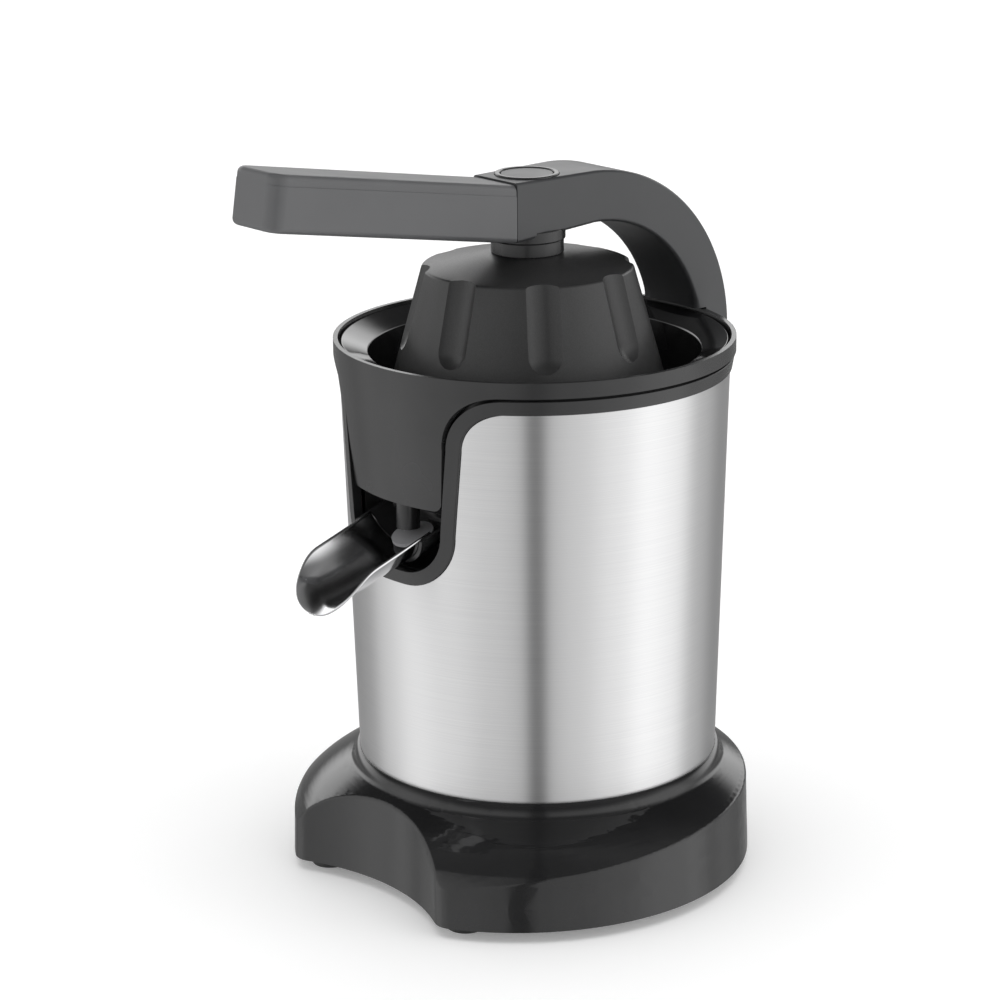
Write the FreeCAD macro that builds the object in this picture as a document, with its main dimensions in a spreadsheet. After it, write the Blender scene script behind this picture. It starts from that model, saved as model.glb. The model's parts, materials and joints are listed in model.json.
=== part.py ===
import FreeCAD, Part
import math
import os
import Sketcher
from types import SimpleNamespace

# Citrus press juicer: a lever arm presses half a fruit onto a driven reamer, in millimetres.
# +Z is up and the front, with the spout, faces -Y. The origin lies on the floor under the middle of
# the object's box; the axis of the round body stands axis_y behind it.

SIZES = {
    # Frame and general fits
    "axis_y": 23.7,
    "fit_gap": 0.2,
    "running_gap": 0.05,
    "seam_gap": 0.3,
    # Base moulding
    "base_bottom": 5.0,
    "base_wall": 2.6,
    "shoulder_radius": 110.0,
    "shoulder_foot": 16.2,
    "shoulder_bow": 57.0,
    "skirt_radius": 99.4,
    "skirt_taper": 1.2,
    "skirt_shift": 10.0,
    "base_lip": 1.2,
    "seat_depth": 3.0,
    "seat_ledge": 3.4,
    "ledge_radius": 86.0,
    "ledge_depth": 4.0,
    "scallop_radius": 100.0,
    "scallop_reach": 85.0,
    "horn_round": 9.0,
    "edge_round": 2.0,
    # Base plate, its screws and the feet
    "plate_thickness": 2.5,
    "plate_lift": 0.5,
    "boss_radius": 4.5,
    "boss_front_x": 62.0,
    "boss_front_y": 58.0,
    "boss_rear_x": 60.0,
    "boss_rear_y": 45.0,
    "screw_radius": 1.5,
    "screw_head": 3.2,
    "screw_head_depth": 1.8,
    "base_screw_length": 15.0,
    "foot_radius": 8.0,
    "foot_stem": 3.0,
    "foot_front_x": 46.0,
    "foot_front_y": 80.0,
    "foot_rear_x": 46.0,
    "foot_rear_y": 58.0,
    # Cord inlet and terminal block
    "gland_z": 20.0,
    "gland_flange": 8.5,
    "gland_neck": 6.0,
    "gland_nose": 5.2,
    "gland_nose_length": 7.0,
    "gland_flange_depth": 3.0,
    "cord_bore": 3.3,
    "terminal_width": 20.0,
    "terminal_depth": 12.0,
    "terminal_height": 10.0,
    "terminal_y": 48.0,
    # Steel sleeve
    "sleeve_bottom": 47.5,
    "sleeve_top": 218.7,
    "sleeve_bottom_radius": 77.4,
    "sleeve_top_radius": 82.5,
    "sleeve_wall": 0.8,
    # U-shaped opening and its trim
    "u_half_top": 38.3,
    "u_flat": 10.0,
    "u_corner": 24.5,
    "u_drop": 77.9,
    "flare_radius": 17.0,
    "trim_width": 6.0,
    "trim_proud": 0.8,
    "trim_depth": 4.6,
    "collar_radius": 84.4,
    "collar_flange": 3.0,
    "collar_bore": 76.2,
    "spigot_wall": 2.2,
    "spigot_length": 11.0,
    # Inner housing
    "housing_depth": 58.7,
    "housing_wall": 2.0,
    "housing_floor": 3.0,
    "housing_gap": 1.1,
    "post_length": 17.0,
    "post_radius": 5.0,
    "post_x": 24.0,
    "post_y": 14.0,
    "bush_radius": 8.0,
    "bush_flange": 9.6,
    "bush_boss": 11.0,
    "boss_rise": 7.0,
    "boss_drop": 1.5,
    # Spout well
    "well_back": 49.0,
    "well_wall": 2.6,
    "well_radius": 75.4,
    # Juice bowl
    "rim_radius": 85.0,
    "rim_gap": 1.3,
    "rim_band": 6.5,
    "rim_edge": 2.0,
    "bowl_radius": 75.3,
    "bowl_wall": 2.0,
    "bowl_depth": 48.2,
    "bowl_rise": 8.0,
    "bowl_foot": 81.5,
    "ledge_rise": 1.8,
    "tube_bore": 8.6,
    "tube_wall": 2.4,
    "tube_top": 31.5,
    "apron_gap": 1.4,
    "apron_drop": 57.5,
    "apron_low_radius": 80.5,
    "apron_wall": 2.4,
    "apron_corner": 4.0,
    "nozzle_y": 70.0,
    "nozzle_radius": 5.0,
    "nozzle_bore": 3.4,
    "nozzle_drop": 71.0,
    "key_width": 3.0,
    # Strainer
    "strainer_rise": 4.7,
    "strainer_inner": 75.0,
    "strainer_slope": 2.7,
    "strainer_floor": 68.0,
    "strainer_depth": 28.3,
    "strainer_wall": 1.8,
    "strainer_hole": 14.0,
    "slot_width": 2.0,
    "slot_inner": 22.0,
    "slot_outer": 62.0,
    "slot_count": 30,
    "notch_width": 12.0,
    "notch_depth": 4.0,
    # Reamer
    "reamer_radius": 36.0,
    "reamer_drop": 26.5,
    "reamer_height": 43.0,
    "reamer_band": 3.0,
    "reamer_bulge": 60.0,
    "reamer_tip": 5.0,
    "reamer_cavity": 13.0,
    "cavity_depth": 7.0,
    "hex_socket": 22.0,
    "rib_height": 2.2,
    "rib_width": 3.0,
    "rib_count": 8,
    # Drive spindle, its spring and the start switch
    "hex_flats": 10.0,
    "spindle_radius": 6.0,
    "spindle_flange": 15.0,
    "flange_depth": 3.0,
    "press_travel": 2.5,
    "spring_radius": 10.5,
    "spring_wire": 0.6,
    "spring_turns": 4,
    "switch_x": 21.6,
    "switch_length": 20.0,
    "switch_width": 6.5,
    "switch_height": 8.0,
    "plunger_x": 13.3,
    "plunger_radius": 1.2,
    "plunger_length": 6.0,
    # Gearbox
    "gear_module": 1.0,
    "pinion_teeth": 12,
    "wheel_teeth": 60,
    "tooth_backlash": 0.16,
    "case_clear": 2.0,
    "bridge_ledge": 1.4,
    "case_wall": 2.6,
    "case_floor": 3.0,
    "case_height": 28.0,
    "bridge_rise": 13.0,
    "bridge_thickness": 2.7,
    "cover_thickness": 3.0,
    "output_width": 8.0,
    "output_journal": 8.5,
    "wheel_width": 5.0,
    "wheel_lift": 2.3,
    "axle_radius": 2.5,
    "axle_boss": 5.0,
    # Motor
    "can_radius": 31.0,
    "can_wall": 2.0,
    "can_length": 64.0,
    "shield_thickness": 4.0,
    "shaft_radius": 3.0,
    "bearing_radius": 7.0,
    "bearing_length": 8.0,
    "bearing_drop": 2.0,
    "core_length": 32.0,
    "core_lift": 16.0,
    "stator_bore": 19.0,
    "air_gap": 0.6,
    "coil_height": 8.0,
    "coil_angle": 130.0,
    "winding_radius": 14.0,
    "winding_height": 6.0,
    "commutator_radius": 9.0,
    "commutator_length": 6.0,
    "brush_length": 10.0,
    "brush_width": 7.0,
    "fan_radius": 24.0,
    "fan_hub": 6.0,
    "fan_disc": 1.5,
    "fan_height": 7.0,
    "fan_blades": 8,
    "blade_width": 1.4,
    # Hinge
    "pin_radius": 2.5,
    "pin_reach": 7.5,
    "pin_drop": 6.7,
    "pin_head": 3.8,
    "pin_head_depth": 1.2,
    "eye_radius": 6.2,
    "eye_width": 20.4,
    "hinge_width": 34.0,
    "bracket_drop": 18.0,
    "bracket_web": 3.4,
    "bracket_screw_x": 6.0,
    "bracket_screw_drop": 12.0,
    "hinge_bush_wall": 1.1,
    "hinge_bush_length": 8.0,
    # Lever arm
    "arm_under": 46.5,
    "arm_depth": 22.0,
    "arm_seam": 20.8,
    "arm_width": 28.0,
    "arm_taper_end": 45.0,
    "leg_gap": 3.0,
    "leg_thickness": 10.0,
    "leg_clear": 1.2,
    "arm_round": 79.0,
    "arm_sag": 3.2,
    "arm_inset": 7.5,
    "arm_step_rise": 3.0,
    "arm_edge": 1.8,
    # Handle
    "handle_length": 122.0,
    "handle_width": 30.0,
    "handle_depth": 24.4,
    "handle_tip_depth": 22.9,
    "handle_rise": 21.3,
    "handle_lean": 3.7,
    "handle_step": 0.8,
    "cover_depth": 4.6,
    "cover_inset": 0.25,
    "handle_corner": 6.5,
    "handle_edge": 2.6,
    "tongue_width": 18.0,
    "tongue_height": 10.0,
    "tongue_length": 4.6,
    "handle_screw_near": 30.0,
    "handle_screw_far": 95.0,
    "screw_recess": 6.0,
    # Release button
    "ring_radius": 13.5,
    "ring_inner": 11.3,
    "ring_depth": 1.6,
    "ring_rise": 0.7,
    "button_radius": 10.8,
    "button_rise": 0.3,
    "button_height": 7.0,
    "button_travel": 2.5,
    "button_rod": 2.5,
    "rod_length": 17.0,
    "well_floor": 14.5,
    "button_spring_radius": 8.0,
    "button_spring_wire": 0.5,
    "button_spring_turns": 3,
    # Stem and press dome
    "press_reach": 3.6,
    "stem_radius": 15.3,
    "stem_height": 5.9,
    "stem_collar_radius": 16.0,
    "stem_plug": 9.0,
    "stem_plug_height": 5.0,
    "dome_plug": 12.0,
    "dome_rise": 35.7,
    "crease_rise": 30.0,
    "crease_radius": 44.4,
    "crease_round": 1.6,
    "dome_low_radius": 58.1,
    "dome_drop": 19.5,
    "dome_wall": 4.6,
    "flute_radius": 11.0,
    "flute_depth": 3.0,
    "flute_end": 3.0,
    "flute_count": 8,
    "flute_turn": 12.0,
    # Spout
    "pivot_y": 61.0,
    "pivot_rise": 25.2,
    "spout_angle": 18.5,
    "spout_half_width": 20.0,
    "spout_depth": 13.0,
    "spout_rim": 2.5,
    "spout_wall": 0.8,
    "spout_start": 13.0,
    "spout_length": 54.0,
    "lip_drop": 5.5,
    "lip_run": 24.0,
    "holder_wall": 1.6,
    "holder_end": 20.0,
    "holder_back": 3.0,
    "spout_pin_radius": 1.6,
    "spout_pin_inner": 17.5,
    "pad_radius": 9.0,
    "pad_thickness": 1.5,
    "pad_gap": 0.4,
    "pad_stalk": 2.5,
}

HEX_CORNER = 1 / math.sqrt(3)
PRESSURE_ANGLE = math.radians(20)
ADDENDUM = 0.75
DEDENDUM = 1.15
OVERRUN = 1.0
FAR = 120.0
COIL_RUNS = 12


class Length:
    """A size in the sheet, or a sum of sizes: its value now and the expression that keeps it bound."""

    def __init__(self, value, text):
        self.value = value
        self.text = text

    def __add__(self, other):
        return Length(self.value + value_of(other), f"({self.text} + {text_of(other)})")

    def __radd__(self, other):
        return Length(value_of(other) + self.value, f"({text_of(other)} + {self.text})")

    def __sub__(self, other):
        return Length(self.value - value_of(other), f"({self.text} - {text_of(other)})")

    def __rsub__(self, other):
        return Length(value_of(other) - self.value, f"({text_of(other)} - {self.text})")

    def __mul__(self, other):
        return Length(self.value * value_of(other), f"({self.text} * {text_of(other)})")

    def __rmul__(self, other):
        return self * other

    def __truediv__(self, other):
        return Length(self.value / value_of(other), f"({self.text} / {text_of(other)})")

    def __neg__(self):
        return Length(-self.value, f"(-1 * {self.text})")


def value_of(length):
    return length.value if isinstance(length, Length) else float(length)


def text_of(length):
    return length.text if isinstance(length, Length) else repr(float(length))


def bind(item, name, length):
    item.setExpression(name, text_of(length))


def root_of(length):
    return Length(math.sqrt(length.value), f"sqrt({length.text})")


doc = FreeCAD.newDocument("citrus_press")
sheet = doc.addObject("Spreadsheet::Sheet", "sizes")
for row, (alias, size) in enumerate(SIZES.items(), start=1):
    sheet.set(f"A{row}", alias)
    sheet.set(f"B{row}", str(size))
    sheet.setAlias(f"B{row}", alias)
doc.recompute()
s = SimpleNamespace(**{alias: Length(float(sheet.get(alias)), f"sizes.{alias}") for alias in SIZES})

PIECES = []


def keep(item):
    """Hand a finished piece in under its own name."""
    item.Label = item.Name
    PIECES.append(item)
    return item


# Sketches and solids

def arc_between(start, stop, radius):
    """Arc from start to stop, counter-clockwise for a positive radius, less than half a turn."""
    span = stop.sub(start)
    half = span.Length / 2
    side = 1 if radius > 0 else -1
    height = math.sqrt(max(radius * radius - half * half, 0))
    middle = start.add(span.multiply(0.5))
    across = FreeCAD.Vector(-(stop.y - start.y), stop.x - start.x, 0).normalize()
    centre = middle.add(across.multiply(side * height))
    first, last = (start, stop) if side > 0 else (stop, start)
    begin = math.atan2(first.y - centre.y, first.x - centre.x)
    finish = math.atan2(last.y - centre.y, last.x - centre.x)
    circle = Part.Circle(centre, FreeCAD.Vector(0, 0, 1), abs(radius))
    return Part.ArcOfCircle(circle, begin, finish)


def fix_point(sketch, geometry, end, position, tag):
    """Tie one end of a sketch line or arc to its bound coordinates."""
    for axis, coordinate, line in (("X", position[0], -2), ("Y", position[1], -1)):
        if not isinstance(coordinate, Length) and coordinate == 0:
            sketch.addConstraint(Sketcher.Constraint("PointOnObject", geometry, end, line))
            continue
        rule = Sketcher.Constraint(f"Distance{axis}", -1, 1, geometry, end, value_of(coordinate))
        index = sketch.addConstraint(rule)
        sketch.renameConstraint(index, f"{tag}{axis}")
        bind(sketch, f"Constraints.{tag}{axis}", coordinate)


def draw(sketch, points):
    """Closed outline of (x, y) corners; a third value is the radius of the arc that leads there."""
    spots = [FreeCAD.Vector(value_of(point[0]), value_of(point[1]), 0) for point in points]
    ends = []
    for index, point in enumerate(points):
        start, stop = spots[index - 1], spots[index]
        if len(point) == 2:
            sketch.addGeometry(Part.LineSegment(start, stop))
            ends.append((1, 2))
        else:
            sketch.addGeometry(arc_between(start, stop, value_of(point[2])))
            ends.append((1, 2) if value_of(point[2]) > 0 else (2, 1))
    for index, point in enumerate(points):
        following = (index + 1) % len(points)
        join = Sketcher.Constraint("Coincident", index, ends[index][1], following, ends[following][0])
        sketch.addConstraint(join)
        fix_point(sketch, index, ends[index][1], point, f"corner{index}")
        if len(point) == 3:
            rule = Sketcher.Constraint("Radius", index, abs(value_of(point[2])))
            place = sketch.addConstraint(rule)
            sketch.renameConstraint(place, f"round{index}")
            sketch.setExpression(f"Constraints.round{index}", f"abs({text_of(point[2])})")


def new_body(name, y=0, z=0, tilt=None):
    """Body whose local origin lies on the axis of the round part, or at a pivot given by y and z."""
    body = doc.addObject("PartDesign::Body", name)
    if tilt is not None:
        body.Placement = FreeCAD.Placement(FreeCAD.Vector(), FreeCAD.Rotation(FreeCAD.Vector(1, 0, 0), 1))
        bind(body, "Placement.Rotation.Angle", tilt)
    bind(body, "Placement.Base.y", s.axis_y + y)
    bind(body, "Placement.Base.z", z)
    return body


def new_sketch(body, role, points, lift=0):
    sketch = body.newObject("Sketcher::SketchObject", f"{body.Name}_outline")
    plane = next(feature for feature in body.Origin.OriginFeatures if feature.Role == role)
    sketch.AttachmentSupport = [(plane, "")]
    sketch.MapMode = "FlatFace"
    bind(sketch, "AttachmentOffset.Base.z", lift)
    draw(sketch, points)
    return sketch


def add_turn(body, points, angle=360):
    """Add a profile, given as (radius, z) corners, turned about the body's vertical axis."""
    sketch = new_sketch(body, "XZ_Plane", points)
    turn = body.newObject("PartDesign::Revolution", f"{body.Name}_turn")
    turn.Profile = sketch
    turn.ReferenceAxis = (sketch, ["V_Axis"])
    bind(turn, "Angle", angle)
    return turn


def add_pad(body, role, points, length, lift=0, symmetric=False):
    pad = body.newObject("PartDesign::Pad", f"{body.Name}_pad")
    pad.Profile = new_sketch(body, role, points, lift)
    pad.SideType = "Symmetric" if symmetric else "One side"
    bind(pad, "Length", length)
    return pad


def add_pocket(body, role, points, length, lift=0, symmetric=False, forward=False):
    pocket = body.newObject("PartDesign::Pocket", f"{body.Name}_pocket")
    pocket.Profile = new_sketch(body, role, points, lift)
    pocket.SideType = "Symmetric" if symmetric else "One side"
    pocket.Reversed = forward
    bind(pocket, "Length", length)
    return pocket


def add_ring_pattern(body, feature, count):
    """Repeat a feature evenly round the body's vertical axis."""
    pattern = body.newObject("PartDesign::PolarPattern", f"{body.Name}_ring")
    pattern.Originals = [feature]
    axis = next(item for item in body.Origin.OriginFeatures if item.Role == "Z_Axis")
    pattern.Axis = (axis, [""])
    pattern.Angle = 360
    bind(pattern, "Occurrences", count)
    body.Tip = pattern
    return pattern


def turned(name, points, angle=360, y=0):
    body = new_body(name, y)
    add_turn(body, points, angle)
    return body


def padded(name, role, points, length, lift=0, symmetric=False):
    body = new_body(name)
    add_pad(body, role, points, length, lift, symmetric)
    return body


TURNS = {
    "x": FreeCAD.Rotation(FreeCAD.Vector(0, 1, 0), 90),
    "y": FreeCAD.Rotation(FreeCAD.Vector(1, 0, 0), -90),
    "z": FreeCAD.Rotation(),
}


def place(item, x, y, z):
    bind(item, "Placement.Base.x", x)
    bind(item, "Placement.Base.y", s.axis_y + y)
    bind(item, "Placement.Base.z", z)


def cylinder(name, radius, length, x=0, y=0, z=0, along="z"):
    item = doc.addObject("Part::Cylinder", name)
    item.Placement = FreeCAD.Placement(FreeCAD.Vector(), TURNS[along])
    bind(item, "Radius", radius)
    bind(item, "Height", length)
    place(item, x, y, z)
    return item


def box(name, width, depth, height, x=0, y=0, z=0):
    """Box centred on x, with y and z at its lower corner."""
    item = doc.addObject("Part::Box", name)
    bind(item, "Length", width)
    bind(item, "Width", depth)
    bind(item, "Height", height)
    place(item, x - width / 2, y, z)
    return item


def disc(y, radius):
    """Outline of a full circle about a point on the middle line."""
    return [
        (radius, y, radius),
        (0, y + radius, radius),
        (-radius, y, radius),
        (0, y - radius, radius),
    ]


def fuse(name, *items):
    item = doc.addObject("Part::MultiFuse", name)
    item.Shapes = list(items)
    item.Refine = True
    return item


def cut(name, base, *tools):
    item = doc.addObject("Part::Cut", name)
    item.Base = base
    item.Tool = tools[0] if len(tools) == 1 else fuse(f"{name}_tools", *tools)
    return item


def common(name, first, second):
    item = doc.addObject("Part::Common", name)
    item.Base = first
    item.Tool = second
    return item


def group(name, items):
    item = doc.addObject("Part::Compound", name)
    item.Links = list(items)
    return item


def rounded(name, base, radius, wanted):
    """Round the edges of a base that the wanted test picks."""
    doc.recompute()
    item = doc.addObject("Part::Fillet", name)
    item.Base = base
    size = value_of(radius)
    picked = [index for index, edge in enumerate(base.Shape.Edges, start=1) if wanted(edge)]
    if not picked:
        raise ValueError(f"{name}: no edge to round")
    item.Edges = [(index, size, size) for index in picked]
    return item


def middle_of(edge):
    """Middle of an edge, measured from the axis of the round body."""
    first, last = edge.ParameterRange
    spot = edge.valueAt((first + last) / 2)
    return FreeCAD.Vector(spot.x, spot.y - s.axis_y.value, spot.z)


def coil(name, radius, wire, turns, low, high, y=0):
    """Open upright spring between two heights, bent in short straight runs."""
    around = value_of(radius)
    rise = value_of(high) - value_of(low)
    runs = int(value_of(turns) * COIL_RUNS)
    corners = []
    for run in range(runs + 1):
        angle = 2 * math.pi * run / COIL_RUNS
        corners.append(FreeCAD.Vector(around * math.cos(angle), around * math.sin(angle), rise * run / runs))
    section = Part.Wire(Part.makeCircle(value_of(wire), corners[0], corners[1] - corners[0]))
    mitred = 1
    item = doc.addObject("Part::Feature", name)
    item.Shape = Part.makePolygon(corners).makePipeShell([section], True, False, mitred)
    item.Placement = FreeCAD.Placement(
        FreeCAD.Vector(0, s.axis_y.value + value_of(y), value_of(low)), FreeCAD.Rotation()
    )
    return item


# Heights that several pieces share, from the floor up

base_top = s.sleeve_bottom + s.seat_depth
plate_bottom = s.base_bottom + s.plate_lift
plate_top = plate_bottom + s.plate_thickness
collar_top = s.sleeve_top + s.trim_width
rim_bottom = collar_top + s.rim_gap
rim_top = rim_bottom + s.rim_band
ledge_z = rim_bottom + s.ledge_rise - s.rim_gap
u_bottom = s.sleeve_top - s.u_drop
deck_under = collar_top - s.housing_depth
deck_top = deck_under + s.housing_floor
cover_top = deck_under - s.post_length
cover_under = cover_top - s.cover_thickness
case_under = cover_under - s.case_height
case_inside = case_under + s.case_floor
can_top = case_under - s.shield_thickness
can_bottom = can_top - s.can_length
bush_under = deck_under - s.boss_drop - s.fit_gap * 2
bush_top = deck_top + s.boss_rise + s.fit_gap * 10
flange_top = bush_under - s.seam_gap
flange_under = flange_top - s.flange_depth
arm_under = rim_top + s.arm_under
arm_top = arm_under + s.arm_depth
pin_y = s.rim_radius + s.pin_reach
pin_z = s.sleeve_top - s.pin_drop
pivot_z = u_bottom + s.pivot_rise
sleeve_slope = (s.sleeve_top_radius - s.sleeve_bottom_radius) / (s.sleeve_top - s.sleeve_bottom)


def sleeve_radius(z):
    """Outer radius of the conical steel sleeve at a height."""
    return s.sleeve_bottom_radius + sleeve_slope * (z - s.sleeve_bottom)


# Base shell: round shoulder cut by a forward-set skirt, with a scallop for the glass

lip_radius = s.sleeve_bottom_radius + s.fit_gap + s.base_lip
ledge_under = s.sleeve_bottom - s.ledge_depth
base_blank = turned("base_blank", [
    (0, s.base_bottom),
    (s.shoulder_radius, s.base_bottom),
    (s.shoulder_radius, s.shoulder_foot),
    (lip_radius, base_top, s.shoulder_bow),
    (0, base_top),
])
seat_bore = s.sleeve_bottom_radius - s.seat_ledge
seat_edge = s.sleeve_bottom_radius + s.fit_gap
base_core = turned("base_core", [
    (0, s.base_bottom - OVERRUN),
    (s.shoulder_radius - s.base_wall, s.base_bottom - OVERRUN),
    (s.shoulder_radius - s.base_wall, s.shoulder_foot),
    (s.ledge_radius, ledge_under, s.shoulder_bow - s.base_wall),
    (seat_bore, ledge_under),
    (seat_bore, s.sleeve_bottom),
    (seat_edge, s.sleeve_bottom),
    (seat_edge, base_top + OVERRUN),
    (0, base_top + OVERRUN),
])


def skirt(name, inset, low, high):
    """Slightly tapered drum that gives the base its outline in plan."""
    item = doc.addObject("Part::Cone", name)
    bind(item, "Radius1", s.skirt_radius - inset)
    bind(item, "Radius2", s.skirt_radius - inset - s.skirt_taper)
    bind(item, "Height", high - low)
    place(item, 0, -s.skirt_shift, low)
    return item


def scallop(name, grow):
    """Upright drum that hollows the front of the base out for the glass."""
    return cylinder(
        name, s.scallop_radius + grow, base_top + 2 * OVERRUN,
        y=-(s.scallop_reach + s.scallop_radius), z=-OVERRUN,
    )


def is_horn_edge(edge):
    spot = middle_of(edge)
    box_of = edge.BoundBox
    return box_of.ZLength > 5 and spot.y < -s.scallop_reach.value and box_of.XLength < 3


def is_rim_edge(edge):
    spot = middle_of(edge)
    radius = math.hypot(spot.x, spot.y)
    rim = lip_radius.value + OVERRUN
    upright = edge.BoundBox.ZLength > 5 and max(edge.BoundBox.XLength, edge.BoundBox.YLength) < 4
    return radius > rim and spot.z > s.base_bottom.value + OVERRUN and not upright


base_outer = common("base_outer", base_blank, skirt("base_skirt", 0, s.base_bottom, base_top))
base_horned = cut("base_horned", base_outer, scallop("base_scallop", 0))
base_soft = rounded("base_soft", base_horned, s.horn_round, is_horn_edge)
base_edged = rounded("base_edged", base_soft, s.edge_round, is_rim_edge)
base_hollow = common(
    "base_hollow", base_core,
    skirt("base_hollow_skirt", s.base_wall, s.base_bottom - OVERRUN, base_top + OVERRUN),
)

BOSSES = [
    (side * x, y)
    for x, y in ((s.boss_front_x, -s.boss_front_y), (s.boss_rear_x, s.boss_rear_y))
    for side in (-1, 1)
]
boss_under = plate_top
boss_top = s.sleeve_bottom - s.ledge_depth / 2
bosses = [
    cylinder(f"boss_{index}", s.boss_radius, boss_top - boss_under, x, y, boss_under)
    for index, (x, y) in enumerate(BOSSES)
]
pilots = [
    cylinder(
        f"pilot_{index}", s.screw_radius + s.running_gap, s.base_screw_length + OVERRUN, x, y, boss_under,
    )
    for index, (x, y) in enumerate(BOSSES)
]
base_space = cut("base_space", base_hollow, scallop("base_scallop_wall", s.base_wall), *bosses)
gland_skirt = s.skirt_radius - s.skirt_shift
gland_hole = cylinder(
    "gland_hole", s.gland_neck + s.fit_gap, s.base_wall * 4,
    y=gland_skirt - s.base_wall * 3, z=s.gland_z, along="y",
)
keep(cut("base_shell", base_edged, base_space, gland_hole, *pilots))

# Base plate, screwed up into the bosses

FEET = [
    (side * x, y)
    for x, y in ((s.foot_front_x, -s.foot_front_y), (s.foot_rear_x, s.foot_rear_y))
    for side in (-1, 1)
]
plate_blank = cylinder(
    "plate_blank", s.skirt_radius - s.skirt_taper - s.base_wall - s.fit_gap, s.plate_thickness,
    y=-s.skirt_shift, z=plate_bottom,
)
plate_holes = [
    cylinder(f"plate_hole_{index}", s.screw_radius + s.fit_gap, plate_top + OVERRUN, x, y, 0)
    for index, (x, y) in enumerate(BOSSES)
] + [
    cylinder(f"foot_hole_{index}", s.foot_stem + s.running_gap, plate_top + OVERRUN, x, y, 0)
    for index, (x, y) in enumerate(FEET)
]
keep(cut("base_plate", plate_blank, scallop("plate_scallop", s.base_wall + s.fit_gap), *plate_holes))


def screw(name, x, y, seat_z, length, up=True):
    """Round-head screw; its head bears on seat_z and its shank runs up or down from there."""
    shank_z = seat_z if up else seat_z - length
    head_z = seat_z - s.screw_head_depth if up else seat_z
    return fuse(
        name,
        cylinder(f"{name}_head", s.screw_head, s.screw_head_depth, x, y, head_z),
        cylinder(f"{name}_shank", s.screw_radius, length, x, y, shank_z),
    )


keep(group("base_screws", [
    screw(f"base_screw_{index}", x, y, plate_bottom, s.base_screw_length)
    for index, (x, y) in enumerate(BOSSES)
]))


def foot(name, x, y):
    """Rubber foot: a pad on the floor, a stem through the plate and a head that holds it there."""
    head = s.foot_stem + OVERRUN
    return fuse(
        name,
        cylinder(f"{name}_pad", s.foot_radius, plate_bottom, x, y, 0),
        cylinder(f"{name}_stem", s.foot_stem, s.plate_thickness, x, y, plate_bottom),
        cylinder(f"{name}_head", head, s.plate_thickness / 2, x, y, plate_top),
    )


keep(group("rubber_feet", [foot(f"foot_{index}", x, y) for index, (x, y) in enumerate(FEET)]))

# Cord inlet: a gland in the back of the skirt, and the block that its wires would go to

gland_inner = gland_skirt - s.base_wall - s.skirt_taper - s.gland_flange_depth
gland_body = fuse(
    "gland_body",
    cylinder("gland_nut", s.gland_flange, s.gland_flange_depth, y=gland_inner, z=s.gland_z, along="y"),
    cylinder(
        "gland_neck_part", s.gland_neck, gland_skirt - gland_inner, y=gland_inner, z=s.gland_z, along="y",
    ),
    cylinder("gland_outer", s.gland_flange, s.gland_flange_depth, y=gland_skirt, z=s.gland_z, along="y"),
    cylinder(
        "gland_nose_part", s.gland_nose, s.gland_nose_length,
        y=gland_skirt + s.gland_flange_depth, z=s.gland_z, along="y",
    ),
)
gland_bore = cylinder("gland_bore", s.cord_bore, FAR, y=0, z=s.gland_z, along="y")
keep(cut("cord_gland", gland_body, gland_bore))
terminal_wells = [
    cylinder(
        f"terminal_well_{side}", s.terminal_depth / 4, s.terminal_height,
        side * s.terminal_width / 4, s.terminal_y + s.terminal_depth / 2, plate_top + s.terminal_height / 2,
    )
    for side in (-1, 1)
]
terminal_blank = box(
    "terminal_blank", s.terminal_width, s.terminal_depth, s.terminal_height, y=s.terminal_y, z=plate_top
)
keep(cut("terminal_block", terminal_blank, *terminal_wells))

# U-shaped opening in the front of the housing; every edge of it is inset from the edge of the steel

u_side_top = s.sleeve_top - s.flare_radius
u_side_low = u_bottom + s.u_corner
u_half_low = s.u_flat + s.u_corner
flare_x = s.u_half_top + s.flare_radius


def u_half(z, inset):
    """Half width of the opening at a height along its straight sides."""
    lean = (s.u_half_top - u_half_low) / (u_side_top - u_side_low)
    return u_half_low - inset + lean * (z - u_side_low)


def u_outline(inset):
    high = s.sleeve_top + inset
    top = collar_top + s.rim_band * 4
    return [
        (-flare_x, top),
        (flare_x, top),
        (flare_x, high),
        (s.u_half_top - inset, u_side_top, s.flare_radius + inset),
        (u_half_low - inset, u_side_low),
        (s.u_flat, u_bottom + inset, inset - s.u_corner),
        (-s.u_flat, u_bottom + inset),
        (inset - u_half_low, u_side_low, inset - s.u_corner),
        (inset - s.u_half_top, u_side_top),
        (-flare_x, high, s.flare_radius + inset),
    ]


def u_tool(name, inset, back=0):
    """Prism of the opening that runs out to the front from a distance before the axis."""
    return padded(name, "XZ_Plane", u_outline(inset), FAR - back, back)


# Steel sleeve

bracket_screw_z = pin_z - s.bracket_screw_drop
sleeve_holes = [
    cylinder(
        f"sleeve_hole_{side}", s.screw_radius + s.fit_gap, FAR,
        side * s.bracket_screw_x, 0, bracket_screw_z, along="y",
    )
    for side in (-1, 1)
]
sleeve_blank = turned("sleeve_blank", [
    (s.sleeve_bottom_radius, s.sleeve_bottom),
    (s.sleeve_top_radius, s.sleeve_top),
    (s.sleeve_top_radius - s.sleeve_wall, s.sleeve_top),
    (s.sleeve_bottom_radius - s.sleeve_wall, s.sleeve_bottom),
])
keep(cut("steel_sleeve", sleeve_blank, u_tool("sleeve_window", 0), *sleeve_holes))

# Housing collar: the band on top of the steel runs on as a ribbon round the opening

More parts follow.
